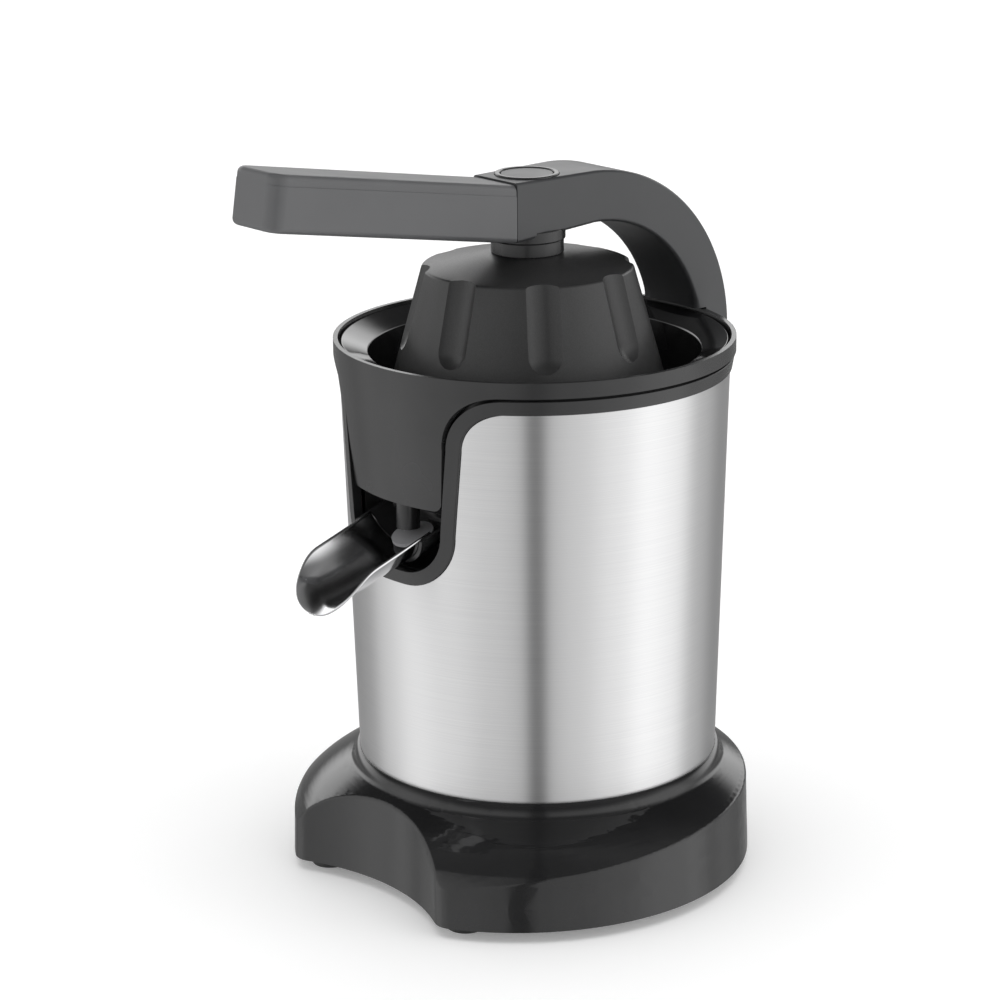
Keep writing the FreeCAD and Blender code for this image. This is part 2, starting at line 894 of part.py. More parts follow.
ribbon_wall = turned("ribbon_wall", [
    (s.sleeve_bottom_radius + s.trim_proud, s.sleeve_bottom),
    (s.sleeve_top_radius + s.trim_proud, s.sleeve_top),
    (s.collar_radius, collar_top),
    (s.collar_radius - s.trim_depth, collar_top),
    (s.sleeve_top_radius + s.trim_proud - s.trim_depth, s.sleeve_top),
    (s.sleeve_bottom_radius + s.trim_proud - s.trim_depth, s.sleeve_bottom),
])
band_drum = cylinder("band_drum", FAR, s.trim_width, z=s.sleeve_top)
ribbon_region = fuse("ribbon_region", band_drum, u_tool("ribbon_window", s.fit_gap))
ribbon = common("ribbon", ribbon_wall, ribbon_region)
spigot_outer = sleeve_radius(s.sleeve_top - s.spigot_length) - s.sleeve_wall - s.fit_gap
spigot_inner = spigot_outer - s.spigot_wall
flange_low = collar_top - s.collar_flange
spigot = turned("spigot", [
    (s.collar_bore, flange_low),
    (spigot_inner, flange_low),
    (spigot_inner, s.sleeve_top - s.spigot_length),
    (spigot_outer, s.sleeve_top - s.spigot_length),
    (spigot_outer, collar_top),
    (s.collar_bore, collar_top),
])
collar_solid = fuse("collar_solid", ribbon, spigot)
keep(cut("housing_collar", collar_solid, u_tool("collar_window", s.trim_width)))

# Inner housing: a tub hung from the collar; its floor carries the spindle bush and the gearbox posts

tub_inner = s.bowl_radius + s.housing_gap
tub_outer = tub_inner + s.housing_wall
tub = turned("tub", [
    (s.bush_radius + s.running_gap, deck_under - s.boss_drop),
    (s.bush_boss, deck_under - s.boss_drop),
    (s.bush_boss, deck_under),
    (tub_outer, deck_under),
    (tub_outer, flange_low),
    (tub_inner, flange_low),
    (tub_inner, deck_top),
    (s.bush_boss, deck_top),
    (s.bush_boss, deck_top + s.boss_rise),
    (s.bush_radius + s.running_gap, deck_top + s.boss_rise),
])
axle_y = s.gear_module * (s.pinion_teeth + s.wheel_teeth) / 2
POSTS = [(side * s.post_x, y) for y in (-s.post_y, axle_y + s.post_y) for side in (-1, 1)]
posts = [
    cylinder(f"post_{index}", s.post_radius, s.post_length + OVERRUN, x, y, cover_top)
    for index, (x, y) in enumerate(POSTS)
]
post_pilots = [
    cylinder(
        f"post_pilot_{index}", s.screw_radius + s.running_gap, s.post_length - OVERRUN, x, y, cover_top,
    )
    for index, (x, y) in enumerate(POSTS)
]
tub_pilots = [
    cylinder(
        f"tub_pilot_{side}", s.screw_radius + s.running_gap, FAR,
        side * s.bracket_screw_x, 0, bracket_screw_z, along="y",
    )
    for side in (-1, 1)
]
tub_solid = fuse("tub_solid", tub, *posts)
tub_window = u_tool("tub_window", -OVERRUN, s.well_back - s.well_wall - s.running_gap)
keep(cut("inner_housing", tub_solid, tub_window, *post_pilots, *tub_pilots))

# Spout well: the dark pocket behind the opening, which holds the spout's pivot pins

well_inset = s.trim_width - s.well_wall
well_top = rim_top - s.apron_drop
well_drum = cylinder("well_drum", s.well_radius, well_top - u_bottom + OVERRUN, z=u_bottom - OVERRUN)
well_blank = common("well_blank", u_tool("well_outside", well_inset, s.well_back - s.well_wall), well_drum)
pin_bore = cylinder(
    "spout_pin_bore", s.spout_pin_radius + s.running_gap, FAR, -FAR / 2, -s.pivot_y, pivot_z, along="x"
)
keep(cut("spout_well", well_blank, u_tool("well_inside", s.trim_width, s.well_back), pin_bore))

# Juice bowl: rim band, wall, sloped floor, spindle tube, front apron and outlet nozzle

bowl_under = collar_top - s.bowl_depth
bowl_inner = s.bowl_radius - s.bowl_wall
tube_outer = s.tube_bore + s.tube_wall
bowl_turn = turned("bowl_turn", [
    (s.rim_radius, rim_bottom),
    (s.rim_radius, rim_top),
    (s.rim_radius - s.rim_edge, rim_top),
    (s.rim_radius - s.rim_edge - OVERRUN, ledge_z),
    (bowl_inner, ledge_z),
    (bowl_inner, bowl_under + s.bowl_wall),
    (tube_outer, bowl_under + s.bowl_wall + s.bowl_rise),
    (tube_outer, bowl_under + s.tube_top),
    (s.tube_bore, bowl_under + s.tube_top),
    (s.tube_bore, bowl_under + s.bowl_rise),
    (s.bowl_radius, bowl_under),
    (s.bowl_radius, collar_top),
    (s.bowl_foot, collar_top),
    (s.bowl_foot, rim_bottom),
])
apron_low = rim_top - s.apron_drop
apron_inset = s.trim_width + s.apron_gap
apron_wall = turned("apron_wall", [
    (s.apron_low_radius, apron_low),
    (s.rim_radius, rim_bottom),
    (s.rim_radius, rim_bottom + OVERRUN),
    (s.rim_radius - s.apron_wall, rim_bottom + OVERRUN),
    (s.rim_radius - s.apron_wall, rim_bottom),
    (s.apron_low_radius - s.apron_wall, apron_low),
])
apron_side = u_half(apron_low + s.apron_corner, apron_inset)
apron_face = padded("apron_face", "XZ_Plane", [
    (-flare_x, rim_top),
    (flare_x, rim_top),
    (flare_x, s.sleeve_top + apron_inset),
    (s.u_half_top - apron_inset, u_side_top, s.flare_radius + apron_inset),
    (apron_side, apron_low + s.apron_corner),
    (apron_side - s.apron_corner, apron_low, -s.apron_corner),
    (s.apron_corner - apron_side, apron_low),
    (-apron_side, apron_low + s.apron_corner, -s.apron_corner),
    (apron_inset - s.u_half_top, u_side_top),
    (-flare_x, s.sleeve_top + apron_inset, s.flare_radius + apron_inset),
], FAR)
apron = common("apron", apron_wall, apron_face)
nozzle_low = rim_top - s.nozzle_drop
nozzle_length = bowl_under + s.bowl_wall - nozzle_low
nozzle = cylinder("nozzle", s.nozzle_radius, nozzle_length, y=-s.nozzle_y, z=nozzle_low)
key_reach = s.rim_radius - s.rim_edge - OVERRUN
bowl_key = box(
    "bowl_key", s.key_width, s.notch_depth, s.strainer_rise / 2 + OVERRUN, y=-key_reach - OVERRUN / 2,
    z=ledge_z - OVERRUN,
)
bowl_solid = fuse("bowl_solid", bowl_turn, apron, nozzle, bowl_key)
nozzle_hole = cylinder(
    "nozzle_hole", s.nozzle_bore, nozzle_length + s.bowl_wall * 2, y=-s.nozzle_y, z=nozzle_low - OVERRUN
)
keep(cut("juice_bowl", bowl_solid, nozzle_hole))

# Strainer: glossy sloped lip on the bowl's ledge, basket wall and slotted floor

strainer_edge = s.rim_radius - s.rim_edge - OVERRUN - s.fit_gap * 2
strainer_low = ledge_z - s.strainer_depth
strainer_turn = new_body("strainer_turn")
add_turn(strainer_turn, [
    (strainer_edge, ledge_z),
    (strainer_edge, ledge_z + s.strainer_rise),
    (s.strainer_inner, ledge_z + s.strainer_rise - s.strainer_slope),
    (bowl_inner - s.housing_gap - s.strainer_wall, ledge_z),
    (s.strainer_floor - s.strainer_wall, strainer_low + s.strainer_wall),
    (s.strainer_hole, strainer_low + s.strainer_wall),
    (s.strainer_hole, strainer_low),
    (s.strainer_floor, strainer_low),
    (bowl_inner - s.housing_gap, ledge_z),
])
strainer_slot = add_pocket(strainer_turn, "XY_Plane", [
    (s.slot_inner, -s.slot_width / 2),
    (s.slot_outer, -s.slot_width / 2),
    (s.slot_outer, s.slot_width / 2),
    (s.slot_inner, s.slot_width / 2),
], s.strainer_wall * 3, strainer_low + s.strainer_wall * 2)
add_ring_pattern(strainer_turn, strainer_slot, s.slot_count)
notch = box(
    "notch", s.notch_width, s.notch_depth + OVERRUN, s.strainer_rise + OVERRUN,
    y=-strainer_edge - OVERRUN, z=ledge_z - OVERRUN / 2,
)
keep(cut("strainer", strainer_turn, notch))

# Reamer: a ribbed cone that plugs onto the hexagon of the spindle

reamer_under = rim_top - s.reamer_drop
reamer_top = reamer_under + s.reamer_height
cone_foot = reamer_under + s.reamer_band
reamer = new_body("reamer")
add_turn(reamer, [
    (0, reamer_under),
    (s.reamer_radius, reamer_under),
    (s.reamer_radius, cone_foot),
    (s.reamer_tip, reamer_top - s.reamer_tip / 2, s.reamer_bulge),
    (0, reamer_top, s.reamer_tip * 1.25),
])
rib_foot = s.reamer_radius - s.fit_gap * 2
rib = add_pad(reamer, "XZ_Plane", [
    (s.reamer_tip / 2, cone_foot - OVERRUN),
    (rib_foot, cone_foot - OVERRUN),
    (rib_foot, cone_foot + s.rib_height),
    (s.reamer_tip / 2, reamer_top - s.rib_height, s.reamer_bulge),
], s.rib_width, -s.rib_width / 2)
add_ring_pattern(reamer, rib, s.rib_count)


def hexagon(flats):
    corner = flats * HEX_CORNER
    return [
        (corner, 0),
        (corner / 2, flats / 2),
        (-corner / 2, flats / 2),
        (-corner, 0),
        (-corner / 2, -flats / 2),
        (corner / 2, -flats / 2),
    ]


add_pocket(reamer, "XY_Plane", disc(0, s.reamer_cavity), s.cavity_depth, reamer_under, forward=True)
add_pocket(
    reamer, "XY_Plane", hexagon(s.hex_flats + s.running_gap * 2), s.hex_socket,
    reamer_under + s.cavity_depth, forward=True,
)
keep(reamer)

# Drive spindle: a hexagon bar with a round journal and the flange that the start spring lifts

spindle_low = case_inside + s.bridge_rise + s.press_travel / 2
spindle_top = reamer_under + s.cavity_depth + s.hex_socket - OVERRUN
journal_top = bowl_under + s.tube_top - OVERRUN
spindle = new_body("drive_spindle")
add_pad(spindle, "XY_Plane", hexagon(s.hex_flats), spindle_top - spindle_low, spindle_low)
add_turn(spindle, [
    (0, flange_under),
    (s.spindle_flange, flange_under),
    (s.spindle_flange, flange_top),
    (s.spindle_radius, flange_top),
    (s.spindle_radius, journal_top),
    (0, journal_top),
])
keep(spindle)
keep(turned("spindle_bush", [
    (s.spindle_radius + s.running_gap, bush_under),
    (s.bush_radius, bush_under),
    (s.bush_radius, deck_top + s.boss_rise),
    (s.bush_flange, deck_top + s.boss_rise),
    (s.bush_flange, bush_top),
    (s.spindle_radius + s.running_gap, bush_top),
]))
keep(coil(
    "start_spring", s.spring_radius, s.spring_wire, s.spring_turns,
    cover_top + s.spring_wire + s.fit_gap, flange_under - s.spring_wire - s.fit_gap,
))

# Start switch beside the spindle: its plunger stands under the flange

plunger_top = flange_under - s.seam_gap
plunger_low = plunger_top - s.plunger_length
plunger_well = plunger_low - s.press_travel - s.seam_gap
switch_box = box(
    "switch_box", s.switch_length, s.switch_width, s.switch_height,
    s.switch_x, -s.switch_width / 2, cover_top,
)
switch_bore = cylinder(
    "switch_bore", s.plunger_radius + s.running_gap, FAR, s.plunger_x, 0, plunger_well
)
keep(cut("micro_switch", switch_box, switch_bore))
plunger_stem = cylinder("plunger_stem", s.plunger_radius, s.plunger_length, s.plunger_x, 0, plunger_low)
keep(group("switch_plunger", [plunger_stem]))

# Gears: involute teeth with short addenda, so that the small pinions are not undercut


def gear_face(teeth, turn):
    """Plane gear outline with teeth on the axis; turn shifts the teeth, in tooth pitches."""
    module = s.gear_module.value
    pitch_radius = module * teeth / 2
    base_radius = pitch_radius * math.cos(PRESSURE_ANGLE)
    tip_radius = pitch_radius + ADDENDUM * module
    root_radius = pitch_radius - DEDENDUM * module
    involute = math.tan(PRESSURE_ANGLE) - PRESSURE_ANGLE
    half_tooth = math.pi / (2 * teeth) - s.tooth_backlash.value / (4 * pitch_radius)

    def flank_angle(radius):
        if radius <= base_radius:
            return half_tooth + involute
        angle = math.acos(base_radius / radius)
        return half_tooth + involute - (math.tan(angle) - angle)

    def spot(radius, angle):
        return FreeCAD.Vector(radius * math.cos(angle), radius * math.sin(angle), 0)

    start_radius = max(base_radius, root_radius)
    flank_radii = (start_radius, (start_radius + tip_radius) / 2, tip_radius)
    edges = []
    for tooth in range(teeth):
        centre = 2 * math.pi * (tooth + turn) / teeth
        after = 2 * math.pi * (tooth + turn + 0.5) / teeth
        right = [spot(radius, centre - flank_angle(radius)) for radius in flank_radii]
        left = [spot(radius, centre + flank_angle(radius)) for radius in reversed(flank_radii)]
        root_left = spot(root_radius, centre + flank_angle(start_radius))
        root_right = spot(root_radius, centre - flank_angle(start_radius))
        next_root = spot(root_radius, 2 * after - centre - flank_angle(start_radius))
        if root_radius < start_radius - 1e-6:
            edges.append(Part.LineSegment(root_right, right[0]).toShape())
        edges.append(Part.Arc(*right).toShape())
        edges.append(Part.Arc(right[2], spot(tip_radius, centre), left[0]).toShape())
        edges.append(Part.Arc(*left).toShape())
        if root_radius < start_radius - 1e-6:
            edges.append(Part.LineSegment(left[2], root_left).toShape())
        edges.append(Part.Arc(root_left, spot(root_radius, after), next_root).toShape())
    return Part.Face(Part.Wire(edges))


def gear_solid(teeth, turn, low, high):
    face = gear_face(int(value_of(teeth)), turn)
    face.translate(FreeCAD.Vector(0, 0, value_of(low)))
    return face.extrude(FreeCAD.Vector(0, 0, value_of(high) - value_of(low)))


def drum(radius, low, high):
    base = FreeCAD.Vector(0, 0, value_of(low))
    return Part.makeCylinder(value_of(radius), value_of(high) - value_of(low), base)


def gear_piece(name, shape, y):
    item = doc.addObject("Part::Feature", name)
    item.Shape = shape
    item.Placement = FreeCAD.Placement(
        FreeCAD.Vector(0, s.axis_y.value + value_of(y), 0), FreeCAD.Rotation()
    )
    return item


bridge_low = case_inside + s.bridge_rise - s.bridge_thickness
output_low = case_inside + s.bridge_rise + s.seam_gap
output_high = output_low + s.output_width
journal_shoulder = cover_under - s.fit_gap
wheel_low = case_inside + s.wheel_lift + s.fit_gap
wheel_high = wheel_low + s.wheel_width
output_shape = gear_solid(s.wheel_teeth, 0.5, output_low, output_high).fuse([
    drum(s.output_journal + OVERRUN, output_high, journal_shoulder),
    drum(s.output_journal, journal_shoulder, cover_top - s.fit_gap),
])
hex_points = [
    FreeCAD.Vector(value_of(x) * 1.0, value_of(y) * 1.0, 0)
    for x, y in hexagon(s.hex_flats + s.running_gap * 2)
]
hex_face = Part.Face(Part.makePolygon(hex_points + hex_points[:1]))
hex_bar = hex_face.extrude(FreeCAD.Vector(0, 0, FAR * 2))
keep(gear_piece("output_gear", output_shape.cut(hex_bar).removeSplitter(), 0))
compound_shape = gear_solid(s.wheel_teeth, 0.5, wheel_low, wheel_high).fuse(
    gear_solid(s.pinion_teeth, 0, wheel_high, output_high)
)
axle_hole = drum(s.axle_radius + s.running_gap, 0, FAR * 2)
keep(gear_piece("compound_gear", compound_shape.cut(axle_hole), axle_y))
pinion_high = wheel_high - s.fit_gap
pinion_low = wheel_low - s.fit_gap * 4
pinion_shape = gear_solid(s.pinion_teeth, 0, pinion_low, pinion_high)
keep(gear_piece("motor_pinion", pinion_shape.cut(drum(s.shaft_radius, 0, FAR * 2)), 0))
axle_pin = cylinder(
    "axle_pin_rod", s.axle_radius, cover_top - case_under - s.seam_gap,
    y=axle_y, z=case_under + s.seam_gap / 2,
)
keep(group("axle_pin", [axle_pin]))

# Gearbox case, bridge plate and cover: long round outlines about the two gear axes

wheel_tip = s.gear_module * s.wheel_teeth / 2 + s.gear_module * ADDENDUM
case_low_radius = wheel_tip + s.case_clear
case_high_radius = case_low_radius + s.bridge_ledge
case_radius = case_high_radius + s.case_wall


def oblong(radius):
    return [
        (radius, axle_y),
        (0, axle_y + radius, radius),
        (-radius, axle_y, radius),
        (-radius, 0),
        (0, -radius, radius),
        (radius, 0, radius),
    ]


case_blank = new_body("case_blank")
add_pad(case_blank, "XY_Plane", oblong(case_radius), s.case_height, case_under)
add_pocket(
    case_blank, "XY_Plane", oblong(case_low_radius), s.case_height - s.case_floor, case_inside, forward=True
)
add_pocket(
    case_blank, "XY_Plane", oblong(case_high_radius), cover_under - bridge_low, bridge_low, forward=True
)
case_boss = cylinder("case_boss", s.axle_boss, s.wheel_lift, y=axle_y, z=case_inside)
case_solid = fuse("case_solid", case_blank, case_boss)
pinion_tip = s.gear_module * s.pinion_teeth / 2 + s.gear_module * ADDENDUM
case_shaft_hole = cylinder(
    "case_shaft_hole", pinion_tip + OVERRUN, s.case_floor * 3, z=case_under - s.case_floor,
)
axle_socket = cylinder("axle_socket", s.axle_radius, FAR, y=axle_y, z=case_under + s.seam_gap / 2)
MOTOR_SCREWS = [(side * s.can_radius * 2 / 3, 0) for side in (-1, 1)]
case_screw_holes = [
    cylinder(
        f"case_screw_hole_{index}", s.screw_radius + s.fit_gap, s.case_floor * 3,
        x, y, case_under - s.case_floor,
    )
    for index, (x, y) in enumerate(MOTOR_SCREWS)
]
keep(cut("gearbox_case", case_solid, case_shaft_hole, axle_socket, *case_screw_holes))
bridge_blank = padded(
    "bridge_blank", "XY_Plane", oblong(case_high_radius - s.fit_gap), s.bridge_thickness, bridge_low
)
bridge_hole = cylinder("bridge_hole", pinion_tip + OVERRUN * 2, FAR, y=axle_y, z=case_under)
bridge_bore = cylinder("bridge_bore", s.spindle_radius + OVERRUN, FAR, z=case_under)
keep(cut("gearbox_bridge", bridge_blank, bridge_hole, bridge_bore))
cover_blank = padded("cover_blank", "XY_Plane", oblong(case_radius), s.cover_thickness, cover_under)
cover_bore = cylinder("cover_bore", s.output_journal + s.running_gap, FAR, z=case_under)
cover_axle = cylinder("cover_axle", s.axle_radius, FAR, y=axle_y, z=case_under)
cover_holes = [
    cylinder(
        f"cover_hole_{index}", s.screw_radius + s.fit_gap, s.cover_thickness * 3,
        x, y, cover_under - s.cover_thickness,
    )
    for index, (x, y) in enumerate(POSTS)
]
keep(cut("gearbox_cover", cover_blank, cover_bore, cover_axle, *cover_holes))
keep(group("gearbox_screws", [
    screw(f"gearbox_screw_{index}", x, y, cover_under, s.cover_thickness + s.post_length / 2)
    for index, (x, y) in enumerate(POSTS)
]))

# Motor: can, end shield, bearings, wound stator and brushes

can_inner = s.can_radius - s.can_wall
bearing_low = can_bottom - s.bearing_drop
keep(turned("motor_can", [
    (s.bearing_radius, can_bottom),
    (s.can_radius, can_bottom),
    (s.can_radius, can_top),
    (can_inner, can_top),
    (can_inner, can_bottom + s.can_wall),
    (s.bearing_radius, can_bottom + s.can_wall),
]))
shield_blank = turned("shield_blank", [
    (s.bearing_radius - OVERRUN, can_top),
    (s.can_radius, can_top),
    (s.can_radius, case_under),
    (s.bearing_radius - OVERRUN, case_under),
])
shield_pilots = [
    cylinder(f"shield_pilot_{index}", s.screw_radius + s.running_gap, FAR, x, y, can_top - OVERRUN)
    for index, (x, y) in enumerate(MOTOR_SCREWS)
]
keep(cut("motor_end_shield", shield_blank, *shield_pilots))


def bush(name, inner, outer, low, high, y=0):
    return turned(name, [(inner, low), (outer, low), (outer, high), (inner, high)], y=y)


shaft_bore = s.shaft_radius + s.running_gap
keep(group("motor_bearings", [
    bush("lower_bearing", shaft_bore, s.bearing_radius, bearing_low, bearing_low + s.bearing_length),
    bush("upper_bearing", shaft_bore, s.bearing_radius - OVERRUN, can_top - s.fit_gap, case_under),
]))
keep(group("motor_screws", [
    screw(f"motor_screw_{index}", x, y, case_inside, s.case_floor + s.shield_thickness - OVERRUN, up=False)
    for index, (x, y) in enumerate(MOTOR_SCREWS)
]))
core_low = can_bottom + s.core_lift
core_high = core_low + s.core_length
keep(bush("stator_core", s.stator_bore, can_inner, core_low, core_high))


def coil_half(name, low, turn):
    """One half of a field winding, a bent block on the face of the stator core."""
    body = turned(name, [
        (s.stator_bore + OVERRUN, low),
        (can_inner - OVERRUN, low),
        (can_inner - OVERRUN, low + s.coil_height),
        (s.stator_bore + OVERRUN, low + s.coil_height),
    ], s.coil_angle)
    body.Placement = FreeCAD.Placement(FreeCAD.Vector(), FreeCAD.Rotation(FreeCAD.Vector(0, 0, 1), turn))
    bind(body, "Placement.Base.y", s.axis_y)
    return body


keep(group("field_coils", [
    coil_half(f"coil_{level}_{turn}", low, turn)
    for level, low in (("low", core_low - s.coil_height), ("high", core_high))
    for turn in (0, 180)
]))
commutator_low = core_high + s.winding_height
brush_low = commutator_low + s.fit_gap
keep(group("brush_holders", [
    box(
        f"brush_{side}", s.brush_length, s.brush_width, can_top - brush_low,
        side * (s.commutator_radius + s.seam_gap + s.brush_length / 2), -s.brush_width / 2, brush_low,
    )
    for side in (-1, 1)
]))

# Rotor: shaft, laminated core, windings, commutator and cooling fan

fan_low = bearing_low - s.seam_gap - s.fan_height
shaft_rod = cylinder("shaft_rod", s.shaft_radius, pinion_high - fan_low, z=fan_low)
keep(group("motor_shaft", [shaft_rod]))
keep(bush("armature_core", s.shaft_radius, s.stator_bore - s.air_gap, core_low, core_high))
keep(group("armature_winding", [
    bush("winding_low", s.shaft_radius, s.winding_radius, core_low - s.winding_height, core_low),
    bush("winding_high", s.shaft_radius, s.winding_radius, core_high, commutator_low),
]))
keep(bush(
    "commutator", s.shaft_radius, s.commutator_radius, commutator_low, commutator_low + s.commutator_length
))
fan = new_body("cooling_fan")
add_turn(fan, [
    (s.shaft_radius, fan_low),
    (s.fan_radius, fan_low),
    (s.fan_radius, fan_low + s.fan_disc),
    (s.fan_hub, fan_low + s.fan_disc),
    (s.fan_hub, fan_low + s.fan_height),
    (s.shaft_radius, fan_low + s.fan_height),
])
blade = add_pad(fan, "XZ_Plane", [
    (s.fan_hub - OVERRUN, fan_low + s.fan_disc),
    (s.fan_radius - OVERRUN, fan_low + s.fan_disc),
    (s.fan_radius - OVERRUN, fan_low + s.fan_height - OVERRUN),
    (s.fan_hub - OVERRUN, fan_low + s.fan_height - OVERRUN),
], s.blade_width, -s.blade_width / 2)
add_ring_pattern(fan, blade, s.fan_blades)
keep(fan)

# Hinge bracket on the back of the sleeve, with its screws, pin and bushes

bracket_low = pin_z - s.bracket_drop
bracket_top = pin_z + s.eye_radius
web_y = sleeve_radius(pin_z) + s.bracket_web
bracket_blank = padded("bracket_blank", "YZ_Plane", [
    (s.bowl_radius, bracket_low),
    (web_y, bracket_low),
    (pin_y + s.eye_radius, pin_z),
    (pin_y, bracket_top, s.eye_radius),
    (s.bowl_radius, bracket_top),
], s.hinge_width, symmetric=True)
eye_slot = box(
    "eye_slot", s.eye_width + s.seam_gap * 2, FAR, bracket_top - bracket_low + OVERRUN * 2,
    y=web_y, z=bracket_low - OVERRUN,
)
sleeve_drum = turned("sleeve_drum", [
    (0, s.sleeve_bottom),
    (s.sleeve_bottom_radius + s.fit_gap, s.sleeve_bottom),
    (s.sleeve_top_radius + s.fit_gap, s.sleeve_top),
    (0, s.sleeve_top),
])
hinge_bore = cylinder("hinge_bore", s.pin_radius, FAR, -FAR / 2, pin_y, pin_z, along="x")
bracket_holes = [
    cylinder(
        f"bracket_hole_{side}", s.screw_radius + s.fit_gap, FAR,
        side * s.bracket_screw_x, 0, bracket_screw_z, along="y",
    )
    for side in (-1, 1)
]
keep(cut("hinge_bracket", bracket_blank, eye_slot, sleeve_drum, hinge_bore, *bracket_holes))


def bracket_screw(name, x):
    """Screw from the back through bracket and sleeve into the wall of the inner housing."""
    return fuse(
        name,
        cylinder(f"{name}_head", s.screw_head, s.screw_head_depth, x, web_y, bracket_screw_z, along="y"),
        cylinder(
            f"{name}_shank", s.screw_radius, web_y - tub_inner, x, tub_inner, bracket_screw_z, along="y",
        ),
    )


keep(group("bracket_screws", [
    bracket_screw(f"bracket_screw_{index}", side * s.bracket_screw_x) for index, side in enumerate((-1, 1))
]))
keep(fuse(
    "hinge_pin",
    cylinder("hinge_pin_rod", s.pin_radius, s.hinge_width, -s.hinge_width / 2, pin_y, pin_z, along="x"),
    cylinder("hinge_pin_right", s.pin_head, s.pin_head_depth, s.hinge_width / 2, pin_y, pin_z, along="x"),
    cylinder(
        "hinge_pin_left", s.pin_head, s.pin_head_depth,
        -s.hinge_width / 2 - s.pin_head_depth, pin_y, pin_z, along="x",
    ),
))
hinge_bush_radius = s.pin_radius + s.running_gap + s.hinge_bush_wall


def hinge_bush(name, start):
    outer = cylinder(f"{name}_outer", hinge_bush_radius, s.hinge_bush_length, start, pin_y, pin_z, along="x")
    inner = cylinder(f"{name}_inner", s.pin_radius + s.running_gap, FAR, -FAR / 2, pin_y, pin_z, along="x")
    return cut(name, outer, inner)


keep(group("hinge_bushes", [
    hinge_bush("hinge_bush_left", -s.eye_width / 2),
    hinge_bush("hinge_bush_right", s.eye_width / 2 - s.hinge_bush_length),
]))

# Lever arm: a bar over the bowl that bends down behind it to the hinge eye

leg_low = pin_z + s.eye_radius + s.leg_clear
leg_inner = s.rim_radius + s.leg_gap
leg_outer = leg_inner + s.leg_thickness
arm_inner_round = arm_under - leg_low
bend_y = leg_inner - arm_inner_round - s.arm_inset
step_z = rim_top + s.arm_step_rise
step_y = bend_y + root_of(arm_inner_round * arm_inner_round - (step_z - leg_low) * (step_z - leg_low))
arm_blank = padded("arm_blank", "YZ_Plane", [
    (-s.arm_seam, arm_under - s.arm_sag),
    (bend_y, arm_under),
    (step_y, step_z, -arm_inner_round),
    (leg_inner, step_z),
    (leg_inner, leg_low),
    (leg_outer, leg_low),
    (leg_outer, arm_top - s.arm_round),
    (leg_outer - s.arm_round, arm_top, s.arm_round),
    (-s.arm_seam, arm_top),
], s.hinge_width, symmetric=True)


def taper(name, side, near_x, near_y, far_x, far_y, low, high):
    """Prism outside a slanted line in plan, which trims one flank of a bar."""
    outside = s.hinge_width
    return padded(name, "XY_Plane", [
        (side * near_x, near_y),
        (side * outside, near_y),
        (side * outside, far_y),
        (side * far_x, far_y),
    ], high - low, low)


def arm_taper(name, side):
    return taper(
        name, side, s.arm_width / 2, -s.arm_seam, s.hinge_width / 2, s.arm_taper_end,
        arm_under - s.arm_depth, arm_top + OVERRUN,
    )


def is_arm_edge(edge):
    spot = middle_of(edge)
    flank = abs(spot.x) > s.arm_width.value / 2 - OVERRUN
    across = edge.BoundBox.YLength < OVERRUN and edge.BoundBox.ZLength > OVERRUN
    return flank and not across and spot.z > step_z.value + OVERRUN


arm_tapered = cut("arm_tapered", arm_blank, arm_taper("arm_trim_left", -1), arm_taper("arm_trim_right", 1))
arm_soft = rounded("arm_soft", arm_tapered, s.arm_edge, is_arm_edge)
eye_block = padded("eye_block", "YZ_Plane", [
    (pin_y - s.eye_radius, leg_low + s.leg_gap),
    (pin_y - s.eye_radius, pin_z),
    (pin_y, pin_z - s.eye_radius, s.eye_radius),
    (pin_y + s.eye_radius, pin_z, s.eye_radius),
    (pin_y + s.eye_radius, leg_low + s.leg_gap),
], s.eye_width, symmetric=True)
arm_solid = fuse("arm_solid", arm_soft, eye_block)
eye_bore = cylinder("eye_bore", hinge_bush_radius, FAR, -FAR / 2, pin_y, pin_z, along="x")
rod_bore = s.button_rod + s.fit_gap * 2
button_floor = arm_top - s.well_floor
tongue_low = arm_top - s.handle_step - s.handle_depth / 2 - s.tongue_height / 2
arm_cuts = [
    eye_bore,
    cylinder(
        "stem_hole", s.stem_plug + s.fit_gap, s.stem_plug_height + s.fit_gap + OVERRUN,
        y=-s.press_reach, z=arm_under - OVERRUN,
    ),
    cylinder(
        "collar_seat", s.stem_collar_radius + s.fit_gap, s.arm_depth, y=-s.press_reach,
        z=arm_under - s.arm_depth,
    ),
    cylinder("rod_hole", rod_bore, s.arm_depth, y=-s.press_reach, z=arm_under),
    cylinder(
        "button_well", s.button_radius + s.fit_gap * 2, s.well_floor + OVERRUN,
        y=-s.press_reach, z=button_floor,
    ),
    cylinder(
        "ring_seat", s.ring_radius + s.fit_gap, s.ring_depth + OVERRUN,
        y=-s.press_reach, z=arm_top - s.ring_depth,
    ),
    box(
        "tongue_slot", s.tongue_width + s.fit_gap * 2, s.tongue_length + s.fit_gap + OVERRUN,
        s.tongue_height + s.fit_gap * 2, y=-s.arm_seam - OVERRUN, z=tongue_low - s.fit_gap,
    ),
]
keep(cut("lever_arm", arm_solid, *arm_cuts))

# Handle: a lower half with a tongue into the arm, and a cover on top

seam_y = -s.arm_seam - s.seam_gap
seam_top = arm_top - s.handle_step
seam_low = seam_top - s.handle_depth
tip_y = seam_y - s.handle_length
tip_z = seam_top + s.handle_rise
tip_low_z = tip_z - s.handle_tip_depth
split = s.cover_depth / s.handle_tip_depth
tip_low_y = tip_y - s.handle_lean
tip_split_y = tip_y - s.handle_lean * split


